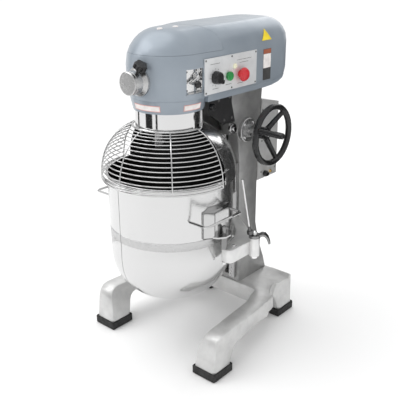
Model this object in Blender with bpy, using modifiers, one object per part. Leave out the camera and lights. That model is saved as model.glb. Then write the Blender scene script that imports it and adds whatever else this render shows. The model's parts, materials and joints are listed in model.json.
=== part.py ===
"""Floor-standing planetary mixer: cast base and column, gear head, bowl lift, bowl and guard.

Metres, +Z up, front of the machine towards -Y, control panel and handwheel on the +X side.
Shapes are laid out from the bowl's vertical axis at floor level, and one empty then moves the
whole machine so that the world origin is under the middle of its bounding box.
"""

import math

import bmesh
import bpy
from mathutils import Matrix, Vector

# ---- driving dimensions -------------------------------------------------------------------
ORIGIN_SHIFT = Vector((0.0, -0.13365, 0.0))
GAP = 0.0003

BOWL_RADIUS = 0.200
BOWL_RIM_Z = 0.6275
BOWL_SEAM_Z = 0.4525
BOWL_BEND_Z = 0.375
BOWL_BOTTOM_Z = 0.194
BOWL_FULLNESS = 2.35
BOWL_WALL = 0.002

BASE_TOP_Z = 0.150
SLAB_BOTTOM_Z = 0.086
FOOT_CAP_HALF = (0.0463, 0.0480)
FOOT_CAP_HEIGHT = 0.0305
FOOT_POCKET_FLOOR_Z = 0.016
FRONT_FOOT = (0.235, -0.069)
REAR_FOOT = (0.163, 0.390)

COLUMN_HALF_WIDTH = 0.090
COLUMN_TOP_Z = 0.8497
CHANNEL_HALF_WIDTH = 0.0555
CHANNEL_BACK_Y = 0.315
CHANNEL_BOTTOM_Z = 0.168

SCREW_Y = 0.277
SCREW_RADIUS = 0.012
WHEEL_SHAFT_Z = 0.712
WHEEL_X = 0.198
HUB_INNER_X = 0.148
WHEEL_RADIUS = 0.0935
WHEEL_RIM_RADIUS = 0.0095
SPOKE_ANGLES = (168.0, 48.0, -72.0)
GRIP_ANGLE = math.radians(160.0)
GRIP_AXIS = (
    SCREW_Y + WHEEL_RADIUS * math.cos(GRIP_ANGLE),
    WHEEL_SHAFT_Z + WHEEL_RADIUS * math.sin(GRIP_ANGLE),
)

YOKE_BOTTOM_Z = 0.367
YOKE_TOP_Z = 0.412
YOKE_INNER_RADIUS = 0.2115
ARM_OUTER_X = 0.252
CLAMP_AXIS = (0.260, 0.108)
BOWL_PIN = (0.2225, 0.0)
LUG_TOP_Z = 0.424
HANDLE_Z = 0.522
HANDLE_FRONT_Y = -0.105
HANDLE_REAR_Y = 0.058

GUARD_TOP_Z = 0.7710
GUARD_BOTTOM_Z = 0.620
GUARD_TOP_RADIUS = 0.1075
GUARD_BOTTOM_RADIUS = 0.2105
CAGE_OFFSET = 0.0052
CAGE_WIRE_RADIUS = 0.0018
CAGE_WIRES = 15
SHELL_START_DEG = 6.0
COLLAR_RADIUS = 0.105
COLLAR_TOP_Z = 0.8257

HEAD_HALF_WIDTH = 0.126
HEAD_BOTTOM_Z = 0.866
HEAD_TOP_Z = 1.066
SHOULDER_Z = 0.990
SHOULDER_INSET = 0.064
NOSE_ROUND_Z = 0.960
NOSE_INSET = 0.100
NOSE_FLANK_Y = 0.120
HEAD_REAR_Y = 0.487
HEAD_CORNER_RADIUS = 0.060
HEAD_WALL = 0.005
COVER_SEAM_Z = 0.997
HUB_Z = 0.922
PLANET_OFFSET = 0.045
MOTOR_Z = 0.9845

PANEL_Y = (0.0205, 0.2750)
PANEL_Z = (0.8735, 0.9800)
PANEL_FACE_X = 0.1285
SELECTOR = (0.0700, 0.9210)
START = (0.1320, 0.9170)
LAMP = (0.1620, 0.9430)
STOP = (0.1900, 0.9150)
PANEL_HOLES = [(*SELECTOR, 0.0075), (*START, 0.0120), (*LAMP, 0.0060), (*STOP, 0.0120)]
SHIFT_AXIS = (0.0020, 0.9300)
THUMB_SCREW_Y = -0.1460
THUMB_SCREW_TILT = math.radians(33.5)

PART_COLLECTION = "commercial_stand_mixer"

FINISHES = {
    "head_paint": ((0.36, 0.41, 0.46), 0.15, 0.38),
    "cast_paint": ((0.42, 0.42, 0.42), 0.45, 0.42),
    "yoke_paint": ((0.66, 0.66, 0.66), 0.45, 0.35),
    "polished_steel": ((0.78, 0.78, 0.78), 1.0, 0.12),
    "machined_steel": ((0.50, 0.50, 0.50), 1.0, 0.32),
    "chrome": ((0.80, 0.80, 0.82), 1.0, 0.08),
    "brass": ((0.72, 0.52, 0.22), 1.0, 0.30),
    "panel": ((0.74, 0.75, 0.76), 0.35, 0.40),
    "black_paint": ((0.03, 0.03, 0.03), 0.0, 0.45),
    "black_plastic": ((0.02, 0.02, 0.02), 0.0, 0.30),
    "rubber": ((0.03, 0.03, 0.03), 0.0, 0.80),
    "green_plastic": ((0.05, 0.42, 0.12), 0.0, 0.35),
    "red_plastic": ((0.62, 0.05, 0.06), 0.0, 0.35),
    "lamp_lens": ((0.85, 0.80, 0.62), 0.0, 0.25),
}

# body name: (parent body, point on its joint's axis)
BODIES = {
    "frame": (None, (0.0, 0.0, 0.0)),
    "bowl_lift": ("frame", (0.0, SCREW_Y, YOKE_TOP_Z)),
    "lift_screw": ("frame", (0.0, SCREW_Y, 0.690)),
    "handwheel": ("frame", (WHEEL_X, SCREW_Y, WHEEL_SHAFT_Z)),
    "crank_grip": ("handwheel", (WHEEL_X, *GRIP_AXIS)),
    "clamp_right": ("bowl_lift", (CLAMP_AXIS[0], CLAMP_AXIS[1], YOKE_TOP_Z)),
    "clamp_left": ("bowl_lift", (-CLAMP_AXIS[0], CLAMP_AXIS[1], YOKE_TOP_Z)),
    "guard_cage": ("frame", (0.0, 0.0, GUARD_TOP_Z)),
    "planetary": ("frame", (0.0, 0.0, COLLAR_TOP_Z)),
    "agitator": ("planetary", (0.0, -PLANET_OFFSET, COLLAR_TOP_Z)),
    "drive_shaft": ("frame", (0.0, 0.100, HUB_Z)),
    "hub_shaft": ("frame", (0.0, -0.100, HUB_Z)),
    "motor_rotor": ("frame", (0.0, 0.250, MOTOR_Z)),
    "speed_selector": ("frame", (PANEL_FACE_X, *SELECTOR)),
    "start_button": ("frame", (PANEL_FACE_X, *START)),
    "stop_button": ("frame", (PANEL_FACE_X, *STOP)),
    "shift_lever": ("frame", (HEAD_HALF_WIDTH, *SHIFT_AXIS)),
    "hub_thumb_screw": ("frame", (0.0, THUMB_SCREW_Y, HUB_Z)),
}


# ---- scene and object helpers -------------------------------------------------------------
def clear_scene():
    for obj in list(bpy.data.objects):
        bpy.data.objects.remove(obj, do_unlink=True)


def new_collection(name):
    collection = bpy.data.collections.new(name)
    bpy.context.scene.collection.children.link(collection)
    return collection


def finish_material(finish):
    material = bpy.data.materials.get(finish)
    if material:
        return material
    colour, metallic, roughness = FINISHES[finish]
    material = bpy.data.materials.new(finish)
    material.use_nodes = True
    shader = material.node_tree.nodes["Principled BSDF"]
    shader.inputs["Base Color"].default_value = (*colour, 1.0)
    shader.inputs["Metallic"].default_value = metallic
    shader.inputs["Roughness"].default_value = roughness
    material.diffuse_color = (*colour, 1.0)
    return material


def add_body(name, parent, point):
    """An empty on the body's joint axis, which everything in the body hangs from."""
    empty = bpy.data.objects.new("axis_" + name, None)
    empty.empty_display_size = 0.05
    parts.objects.link(empty)
    if parent:
        empty.parent = axes[parent][0]
        empty.location = Vector(point) - axes[parent][1]
    else:
        empty.location = ORIGIN_SHIFT + Vector(point)
    axes[name] = (empty, Vector(point))


def hang(obj, body):
    empty, point = axes[body]
    obj.parent = empty
    obj.matrix_parent_inverse = Matrix.Translation(-point)


def part(name, mesh, body, finish, smooth=30.0):
    """A node: one named object with its finish, riding on a body."""
    if isinstance(mesh, bmesh.types.BMesh):
        built = bpy.data.meshes.new(name)
        mesh.to_mesh(built)
        mesh.free()
        mesh = built
    obj = bpy.data.objects.new(name, mesh)
    parts.objects.link(obj)
    mesh.materials.append(finish_material(finish))
    if smooth:
        mesh.shade_smooth()
        mesh.set_sharp_from_angle(angle=math.radians(smooth))
    hang(obj, body)
    return obj


def combine(target, bm, operation="UNION", use_self=False):
    """Adds a shape to the target, or cuts it away, with a Boolean modifier."""
    number = len(target.modifiers)
    mesh = bpy.data.meshes.new(f"{target.name}_tool_{number}")
    bm.to_mesh(mesh)
    bm.free()
    tool = bpy.data.objects.new(mesh.name, mesh)
    cutters.objects.link(tool)
    tool.hide_render = True
    tool.display_type = "WIRE"
    tool.parent = target.parent
    tool.matrix_parent_inverse = target.matrix_parent_inverse.copy()
    boolean = target.modifiers.new(operation.lower(), "BOOLEAN")
    boolean.operation = operation
    boolean.solver = "EXACT"
    boolean.use_self = use_self
    boolean.object = tool
    return tool


def cut(target, bm):
    return combine(target, bm, "DIFFERENCE")


def bevel(obj, width, segments=2, angle=30.0):
    modifier = obj.modifiers.new("bevel", "BEVEL")
    modifier.width = width
    modifier.segments = segments
    modifier.limit_method = "ANGLE"
    modifier.angle_limit = math.radians(angle)
    modifier.use_clamp_overlap = True
    return modifier


# ---- shape helpers ------------------------------------------------------------------------
def box(low, high):
    bm = bmesh.new()
    bmesh.ops.create_cube(bm, size=1.0)
    low = Vector(low)
    high = Vector(high)
    size = high - low
    bmesh.ops.scale(bm, vec=size, verts=bm.verts)
    bmesh.ops.translate(bm, vec=(low + high) / 2, verts=bm.verts)
    return bm


def along(start, end):
    """The matrix that stands local +Z on the line from start to end, at its middle."""
    start = Vector(start)
    end = Vector(end)
    turn = (end - start).to_track_quat("Z", "Y").to_matrix().to_4x4()
    return Matrix.Translation((start + end) / 2) @ turn


def rod(start, end, radius, end_radius=None, segments=24):
    """A cylinder, or a cone where end_radius differs, from start to end."""
    bm = bmesh.new()
    bmesh.ops.create_cone(
        bm,
        cap_ends=True,
        segments=segments,
        radius1=radius,
        radius2=radius if end_radius is None else end_radius,
        depth=(Vector(end) - Vector(start)).length,
        matrix=along(start, end),
    )
    return bm


def merged(*shapes):
    """Several shapes in one bmesh, for a tool that is used all at once."""
    total = bmesh.new()
    for bm in shapes:
        mesh = bpy.data.meshes.new("shape")
        bm.to_mesh(mesh)
        bm.free()
        total.from_mesh(mesh)
        bpy.data.meshes.remove(mesh)
    return total


def round_corners(corners, steps=4):
    """A closed outline from (x, y, radius) corners, each corner an arc of its radius."""
    outline = []
    for i, (x, y, radius) in enumerate(corners):
        here = Vector((x, y))
        to_last = Vector(corners[i - 1][:2]) - here
        to_next = Vector(corners[(i + 1) % len(corners)][:2]) - here
        if radius <= 0.0:
            outline.append(here)
            continue
        to_last.normalize()
        to_next.normalize()
        half = to_last.angle(to_next) / 2
        reach = radius / math.tan(half)
        centre = here + (to_last + to_next).normalized() * (radius / math.sin(half))
        start = here + to_last * reach - centre
        end = here + to_next * reach - centre
        for step in range(steps + 1):
            ray = start.lerp(end, step / steps).normalized() * radius
            outline.append(centre + ray)
    return outline


def arc(radius, start_deg, end_deg, steps, centre=(0.0, 0.0)):
    points = []
    for step in range(steps + 1):
        angle = math.radians(start_deg + (end_deg - start_deg) * step / steps)
        points.append(Vector((centre[0] + radius * math.cos(angle), centre[1] + radius * math.sin(angle))))
    return points


def prism(outline, low, high, axis="Z"):
    """A closed outline extruded from low to high. The outline is (x, y), or (y, z) for axis X."""
    bm = bmesh.new()
    if axis == "Z":
        verts = [bm.verts.new((x, y, low)) for x, y in outline]
        offset = Vector((0.0, 0.0, high - low))
    else:
        verts = [bm.verts.new((low, y, z)) for y, z in outline]
        offset = Vector((high - low, 0.0, 0.0))
    face = bm.faces.new(verts)
    pushed = bmesh.ops.extrude_face_region(bm, geom=[face])
    moved = [item for item in pushed["geom"] if isinstance(item, bmesh.types.BMVert)]
    bmesh.ops.translate(bm, vec=offset, verts=moved)
    bmesh.ops.recalc_face_normals(bm, faces=bm.faces)
    return bm


def loft(rings):
    """A solid through rings of the same number of points, capped at both ends."""
    bm = bmesh.new()
    rows = [[bm.verts.new(point) for point in ring] for ring in rings]
    count = len(rows[0])
    for lower, upper in zip(rows, rows[1:]):
        for i in range(count):
            j = (i + 1) % count
            bm.faces.new((lower[i], lower[j], upper[j], upper[i]))
    bm.faces.new(rows[0])
    bm.faces.new(rows[-1])
    bmesh.ops.recalc_face_normals(bm, faces=bm.faces)
    return bm


def turned(name, profile, body, finish, base=(0.0, 0.0, 0.0), axis=(0.0, 0.0, 1.0), steps=32, hollow=False):
    """A profile of (radius, height) points, top to bottom outside, turned about an axis from base."""
    mesh = bpy.data.meshes.new(name)
    edges = [(i, i + 1) for i in range(len(profile) - 1)]
    if hollow:
        edges.append((len(profile) - 1, 0))
    mesh.from_pydata([(radius, 0.0, height) for radius, height in profile], edges, [])
    obj = part(name, mesh, body, finish, smooth=None)
    turn = Vector(axis).to_track_quat("Z", "Y").to_matrix().to_4x4()
    obj.matrix_basis = Matrix.Translation(base) @ turn
    screw = obj.modifiers.new("turn", "SCREW")
    screw.axis = "Z"
    screw.steps = steps
    screw.render_steps = steps
    screw.use_merge_vertices = True
    screw.merge_threshold = 0.00001
    screw.use_smooth_shade = True
    return obj


def solid_profile(*pairs):
    """A turned solid's profile, closed on the axis at its first and last height."""
    return [(0.0, pairs[0][1]), *pairs, (0.0, pairs[-1][1])]


def ring_profile(inner, outer, low, high):
    return [(inner, high), (outer, high), (outer, low), (inner, low)]


def tube(points, radius, resolution=1):
    """A bent round bar through the points, as a bmesh made from a bevelled curve."""
    curve = bpy.data.curves.new("bar", "CURVE")
    curve.dimensions = "3D"
    curve.bevel_depth = radius
    curve.bevel_resolution = resolution
    curve.use_fill_caps = True
    spline = curve.splines.new("POLY")
    spline.points.add(len(points) - 1)
    for point, place in zip(spline.points, points):
        point.co = (*place, 1.0)
    guide = bpy.data.objects.new("bar", curve)
    parts.objects.link(guide)
    bpy.context.view_layer.update()
    graph = bpy.context.evaluated_depsgraph_get()
    mesh = bpy.data.meshes.new_from_object(guide.evaluated_get(graph))
    bm = bmesh.new()
    bm.from_mesh(mesh)
    bmesh.ops.remove_doubles(bm, verts=bm.verts, dist=0.00001)
    bmesh.ops.recalc_face_normals(bm, faces=bm.faces)
    bpy.data.objects.remove(guide)
    bpy.data.meshes.remove(mesh)
    bpy.data.curves.remove(curve)
    return bm


def bent_path(corners, radius, steps=5):
    """Points along straight runs that turn each inner corner on an arc of the given radius."""
    path = [Vector(corners[0])]
    for before, here, after in zip(corners, corners[1:], corners[2:]):
        here = Vector(here)
        back = (Vector(before) - here).normalized()
        ahead = (Vector(after) - here).normalized()
        half = back.angle(ahead) / 2
        reach = radius / math.tan(half)
        centre = here + (back + ahead).normalized() * (radius / math.sin(half))
        start = here + back * reach - centre
        end = here + ahead * reach - centre
        for step in range(steps + 1):
            path.append(centre + start.lerp(end, step / steps).normalized() * radius)
    path.append(Vector(corners[-1]))
    return path


def gear(name, body, finish, tip, root, teeth, low, high, base):
    """A toothed wheel about the vertical through base."""
    outline = []
    pitch = math.tau / teeth
    for tooth in range(teeth):
        for share, radius in ((0.0, root), (0.2, tip), (0.5, tip), (0.7, root)):
            angle = (tooth + share) * pitch
            outline.append((base[0] + radius * math.cos(angle), base[1] + radius * math.sin(angle)))
    return part(name, prism(outline, low, high), body, finish)


# ---- base ---------------------------------------------------------------------------------
def leg_ring(inner_x, outer_x, top, under):
    """A leg's section: its outer face line (top) and underside (under) as (y, z), corners eased."""
    ease = 0.13
    corners = [
        Vector((inner_x, *top)),
        Vector((outer_x, *top)),
        Vector((outer_x, *under)),
        Vector((inner_x, *under)),
    ]
    ring = []
    for i, corner in enumerate(corners):
        back = (corners[i - 1] - corner) * ease
        ahead = (corners[(i + 1) % 4] - corner) * ease
        ring += [corner + back, corner + (back + ahead) * 0.29, corner + ahead]
    return ring


def front_leg(side):
    foot_z = FOOT_POCKET_FLOOR_Z + GAP
    stations = [
        (0.1925, 0.2775, (-0.1130, foot_z), (-0.0260, foot_z)),
        (0.1930, 0.2775, (-0.1125, 0.0320), (-0.0255, 0.0320)),
        (0.1970, 0.2775, (-0.1080, 0.070), (-0.0180, 0.052)),
        (0.2050, 0.2775, (-0.1030, 0.112), (-0.0080, 0.0755)),
        (0.2120, 0.2775, (-0.0960, 0.131), (0.0030, 0.0850)),
        (0.2160, 0.2775, (-0.0830, 0.144), (0.0170, 0.0905)),
        (0.2180, 0.2765, (-0.0640, BASE_TOP_Z), (0.0340, 0.0925)),
        (0.1995, 0.2630, (0.1500, BASE_TOP_Z), (0.1500, 0.0935)),
        (0.1700, 0.2480, (0.2450, BASE_TOP_Z), (0.2450, 0.0935)),
    ]
    rings = []
    for inner_x, outer_x, top, under in stations:
        ring = leg_ring(inner_x, outer_x, top, under)
        rings.append([Vector((side * point.x, point.y, point.z)) for point in ring])
    return loft(rings)


def rear_leg(side):
    foot_z = FOOT_POCKET_FLOOR_Z + GAP
    stations = [
        (foot_z, 0.1206, 0.2052, 0.3462, 0.4338),
        (0.032, 0.1206, 0.2054, 0.3462, 0.4338),
        (0.050, 0.1200, 0.2062, 0.3360, 0.4300),
        (0.085, 0.1180, 0.2080, 0.3180, 0.4250),
        (0.110, 0.1150, 0.2100, 0.3000, 0.4220),
        (0.1495, 0.1150, 0.2120, 0.3200, 0.4170),
    ]
    rings = []
    for z, inner_x, outer_x, front_y, rear_y in stations:
        corners = [(inner_x, front_y), (outer_x, front_y), (outer_x, rear_y), (inner_x, rear_y)]
        outline = round_corners([(x, y, 0.010) for x, y in corners], steps=2)
        rings.append([Vector((side * x, y, z)) for x, y in outline])
    return loft(rings)


def base_slab():
    half = [
        (0.128, 0.240, 0.0),
        (0.190, 0.238, 0.040),
        (0.203, 0.160, 0.0),
        (0.258, 0.160, 0.0),
        (0.257, 0.205, 0.030),
        (0.203, 0.300, 0.040),
        (0.203, 0.345, 0.030),
        (0.220, 0.385, 0.015),
        (0.200, 0.418, 0.014),
    ]
    mirrored = [(-x, y, radius) for x, y, radius in reversed(half)]
    return prism(round_corners(half + mirrored), SLAB_BOTTOM_Z, BASE_TOP_Z)


def make_base():
    base = part("base_frame", base_slab(), "frame", "cast_paint", smooth=35)
    bevel(base, 0.006, 2, 60)
    for side in (1, -1):
        combine(base, front_leg(side))
        combine(base, rear_leg(side))
    half_x, half_y = FOOT_CAP_HALF
    for end, (x, y) in (("front", FRONT_FOOT), ("rear", REAR_FOOT)):
        for side, word in ((1, "right"), (-1, "left")):
            low = (side * x - half_x, y - half_y, 0.0)
            high = (side * x + half_x, y + half_y, FOOT_CAP_HEIGHT)
            cap = part(f"foot_cap_{end}_{word}", box(low, high), "frame", "rubber")
            bevel(cap, 0.003, 1)
            wall = 0.0034
            pocket = box(
                (low[0] + wall, low[1] + wall, FOOT_POCKET_FLOOR_Z),
                (high[0] - wall, high[1] - wall, FOOT_CAP_HEIGHT + 0.01),
            )
            cut(cap, pocket)


# ---- column -------------------------------------------------------------------------------
def make_column():
    stations = [
        (BASE_TOP_Z + GAP, 0.096, 0.2460, 0.4130),
        (0.195, 0.094, 0.2460, 0.4010),
        (0.270, 0.091, 0.2460, 0.3720),
        (0.350, 0.090, 0.2460, 0.3520),
        (0.600, 0.090, 0.2460, 0.3520),
        (0.690, 0.090, 0.2370, 0.3570),
        (0.757, 0.090, 0.2150, 0.3620),
        (0.823, 0.090, 0.1900, 0.3670),
        (COLUMN_TOP_Z, 0.090, 0.1850, 0.3700),
    ]
    rings = []
    for z, half, front_y, rear_y in stations:
        corners = [(-half, front_y), (half, front_y), (half, rear_y), (-half, rear_y)]
        outline = round_corners([(x, y, 0.008) for x, y in corners], steps=2)
        rings.append([Vector((x, y, z)) for x, y in outline])
    column = part("column_casting", loft(rings), "frame", "cast_paint")
    seat = box((-0.0860, 0.1180, 0.7850), (0.0860, 0.2200, COLUMN_TOP_Z))
    combine(column, seat)
    combine(column, box((0.0600, 0.1850, 0.7120), (COLUMN_HALF_WIDTH, 0.2500, 0.7500)))
    channel = box(
        (-CHANNEL_HALF_WIDTH, 0.10, CHANNEL_BOTTOM_Z), (CHANNEL_HALF_WIDTH, CHANNEL_BACK_Y, 0.765)
    )
    cut(column, channel)
    cut(column, rod((0.02, SCREW_Y, WHEEL_SHAFT_Z), (0.12, SCREW_Y, WHEEL_SHAFT_Z), 0.012))
    for side, word in ((1, "right"), (-1, "left")):
        inner = side * 0.0575
        outer = side * 0.0830
        way = box((min(inner, outer), 0.2335, 0.165), (max(inner, outer), 0.2457, 0.600))
        obj = part(f"slideway_{word}", way, "frame", "machined_steel")
        bevel(obj, 0.0015, 1)
        plate_outline = [(0.0815, 0.8480), (0.1950, 0.8480), (0.1950, 0.8200), (0.2130, 0.7560),
                         (0.1500, 0.7560), (0.1050, 0.7850), (0.0815, 0.8050)]
        plate_in = side * (COLUMN_HALF_WIDTH + GAP)
        plate_out = side * (COLUMN_HALF_WIDTH + 0.0023)
        plate = prism(plate_outline, min(plate_in, plate_out), max(plate_in, plate_out), axis="X")
        part(f"neck_plate_{word}", plate, "frame", "black_paint", smooth=None)


def make_rear_cover():
    low_z = 0.510
    rear_y = 0.4690
    outline = [(0.3525, low_z), (rear_y, low_z), (rear_y, 0.7760), (0.3670, 0.8000), (0.3640, 0.76),
               (0.3590, 0.69), (0.3525, 0.60)]
    half = 0.088
    cover = part("rear_cover", prism(outline, -half, half, axis="X"), "frame", "cast_paint", smooth=None)
    wall = 0.002
    hollow = [(0.3400, low_z + wall), (rear_y - wall, low_z + wall), (rear_y - wall, 0.7740),
              (0.3400, 0.8010 - wall)]
    cut(cover, prism(hollow, -half + wall, half - wall, axis="X"))
    gland_base = Vector((half - 0.006, 0.396, 0.5250))
    cut(cover, rod(gland_base - Vector((0.01, 0, 0)), gland_base + Vector((0.02, 0, 0)), 0.0080))
    turned(
        "cable_gland",
        [(0.0045, 0.022), (0.0075, 0.022), (0.0095, 0.017), (0.0110, 0.0155), (0.0110, 0.0063),
         (0.0077, 0.0063), (0.0077, 0.0), (0.0045, 0.0)],
        "frame", "black_plastic", gland_base, (1, 0, 0), 16, hollow=True,
    )
    contactor = part("contactor", box((-0.040, 0.385, 0.620), (0.040, 0.4660, 0.700)), "frame",
                     "black_plastic", smooth=None)
    bevel(contactor, 0.003, 1)


# ---- head ---------------------------------------------------------------------------------
def head_outline(side_half, nose_radius, rear_y, corner, steps):
    """The head in plan at one height: half-round nose, flanks that widen smoothly, rounded rear corners."""
    points = []
    for step in range(steps + 1):
        angle = math.pi + math.pi * step / steps
        points.append(Vector((nose_radius * math.cos(angle), nose_radius * math.sin(angle))))
    flank = []
    for step in range(1, 5):
        share = step / 4
        spread = share * share * (3 - 2 * share)
        flank.append(Vector((nose_radius + (side_half - nose_radius) * spread, NOSE_FLANK_Y * share)))
    points += flank
    points.append(Vector((side_half, 0.180)))
    centre = (side_half - corner, rear_y - corner)
    points += arc(corner, 0, 90, 4, centre)
    points += arc(corner, 90, 180, 4, (-centre[0], centre[1]))
    points.append(Vector((-side_half, 0.180)))
    points += [Vector((-point.x, point.y)) for point in reversed(flank)]
    return points


def nose_inset(z):
    """How far the nose has drawn back at this height, on an elliptical arc."""
    share = min(1.0, max(0.0, (z - NOSE_ROUND_Z) / (HEAD_TOP_Z - NOSE_ROUND_Z)))
    return NOSE_INSET * (1 - math.sqrt(1 - share * share))


def head_levels(shrink=0.0):
    """(z, side half-width, nose radius, rear y, corner radius) up the head."""
    width = HEAD_HALF_WIDTH - shrink
    rear = HEAD_REAR_Y - shrink
    corner = HEAD_CORNER_RADIUS - shrink
    levels = [
        (HEAD_BOTTOM_Z + shrink, width - 0.004, width - 0.0085, rear - 0.040, corner),
        (0.872 + shrink * 0.7, width - 0.0005, width - 0.0065, rear - 0.020, corner),
        (0.885, width, width - 0.0030, rear - 0.007, corner),
        (0.905, width, width, rear, corner),
        (NOSE_ROUND_Z, width, width, rear, corner),
    ]
    rise = HEAD_TOP_Z - shrink - SHOULDER_Z
    for degrees in (0, 18, 34, 48, 60, 70, 78, 84):
        angle = math.radians(degrees)
        inset = SHOULDER_INSET * (1 - math.cos(angle))
        rear_inset = 0.050 * (1 - math.cos(angle))
        z = SHOULDER_Z + rise * math.sin(angle)
        nose = width - nose_inset(z + shrink)
        levels.append((z, width - inset, nose, rear - rear_inset, corner - rear_inset * 0.3))
    levels.append((HEAD_TOP_Z - shrink, width - SHOULDER_INSET, width - NOSE_INSET, rear - 0.052,
                   corner - 0.016))
    return levels


def head_solid(shrink=0.0, steps=20):
    rings = []
    for z, half, nose, rear, corner in head_levels(shrink):
        outline = head_outline(half, nose, rear, corner, steps)
        rings.append([Vector((point.x, point.y, z)) for point in outline])
    return loft(rings)


def cover_region(seam_z, inset):
    """The block above the seam and ahead of the arc on which the top cover ends."""
    outline = [(-0.20, seam_z)]
    for degrees in (0, 15, 30, 45, 60, 75, 90):
        angle = math.radians(degrees)
        outline.append((0.045 + (0.065 - inset) * math.cos(angle), seam_z + (0.076 - 2 * inset) * math.sin(angle)))
    outline.append((-0.20, seam_z + 0.076))
    return prism(outline, -0.2, 0.2, axis="X")


def make_head():
    housing = part("head_housing", head_solid(), "frame", "head_paint", smooth=32)
    low_z = COLUMN_TOP_Z + GAP
    underside = [(0.0450, 0.8900), (0.0450, low_z), (0.3300, low_z), (0.3720, 0.8520), (0.4080, 0.8580),
                 (0.4350, 0.8680), (0.4420, 0.8800), (0.4420, 0.8900)]
    combine(housing, prism(underside, -0.1215, 0.1215, axis="X"))
    cut(housing, head_solid(HEAD_WALL, 16))
    cut(housing, cover_region(COVER_SEAM_Z, 0.0))
    cut(housing, rod((0, 0, 0.80), (0, 0, 0.90), 0.108, segments=32))
    cut(housing, rod((0, -0.16, HUB_Z), (0, -0.08, HUB_Z), 0.0155))
    cut(housing, box((0.112, -0.0460, 0.8840), (0.150, 0.0180, 0.9570)))
    holes = [
        rod((0.11, y, z), (0.14, y, z), radius, segments=16)
        for y, z, radius in PANEL_HOLES
    ]
    cut(housing, merged(*holes))

    cover = part("head_top_cover", head_solid(), "frame", "head_paint", smooth=32)
    combine(cover, cover_region(COVER_SEAM_Z + 0.0006, 0.0006), "INTERSECT")
    cut(cover, head_solid(HEAD_WALL, 10))

    ring = turned(
        "nose_ring",
        [(0.0985, HEAD_BOTTOM_Z - GAP), (0.1165, HEAD_BOTTOM_Z - GAP), (0.1170, 0.8620), (0.1130, 0.8430),
         (0.1095, 0.8262), (0.0985, 0.8262)],
        "frame", "head_paint", steps=36, hollow=True,
    )
    cut(ring, box((-0.13, 0.0445, COLUMN_TOP_Z), (0.13, 0.13, 0.875)))


def make_hub():
    body = turned(
        "attachment_hub",
        [(0.0150, 0.0500), (0.0330, 0.0500), (0.0345, 0.0485), (0.0345, 0.0280), (0.0400, 0.0200),
         (0.0430, 0.0170), (0.0430, 0.0), (0.0150, 0.0)],
        "frame", "machined_steel", (0, -0.1100, HUB_Z), (0, -1, 0), 24, hollow=True,
    )
    cut(body, head_solid(-GAP))
    turned(
        "hub_cover",
        solid_profile((0.0315, 0.0085), (0.0345, 0.0065), (0.0345, 0.0)),
        "frame", "machined_steel", (0, -0.1600 - GAP, HUB_Z), (0, -1, 0), 24,
    )
    reach = Vector((math.sin(THUMB_SCREW_TILT), 0, math.cos(THUMB_SCREW_TILT)))
    foot = Vector((0, THUMB_SCREW_Y, HUB_Z))
    cut(body, rod(foot, foot + reach * 0.05, 0.0056, segments=12))
    lobes = []
    for step in range(30):
        angle = math.tau * step / 30
        radius = 0.0190 + 0.0020 * math.cos(5 * angle)
        lobes.append((radius * math.cos(angle), radius * math.sin(angle)))
    knob = prism(lobes, 0.0510, 0.0690)
    stand = Matrix.Translation(foot) @ reach.to_track_quat("Z", "Y").to_matrix().to_4x4()
    bmesh.ops.transform(knob, matrix=stand, verts=knob.verts)
    screw = part("hub_thumb_screw", knob, "hub_thumb_screw", "black_plastic")
    bevel(screw, 0.002, 1)
    combine(screw, rod(foot + reach * 0.0200, foot + reach * 0.0550, 0.0053, segments=12))


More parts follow.
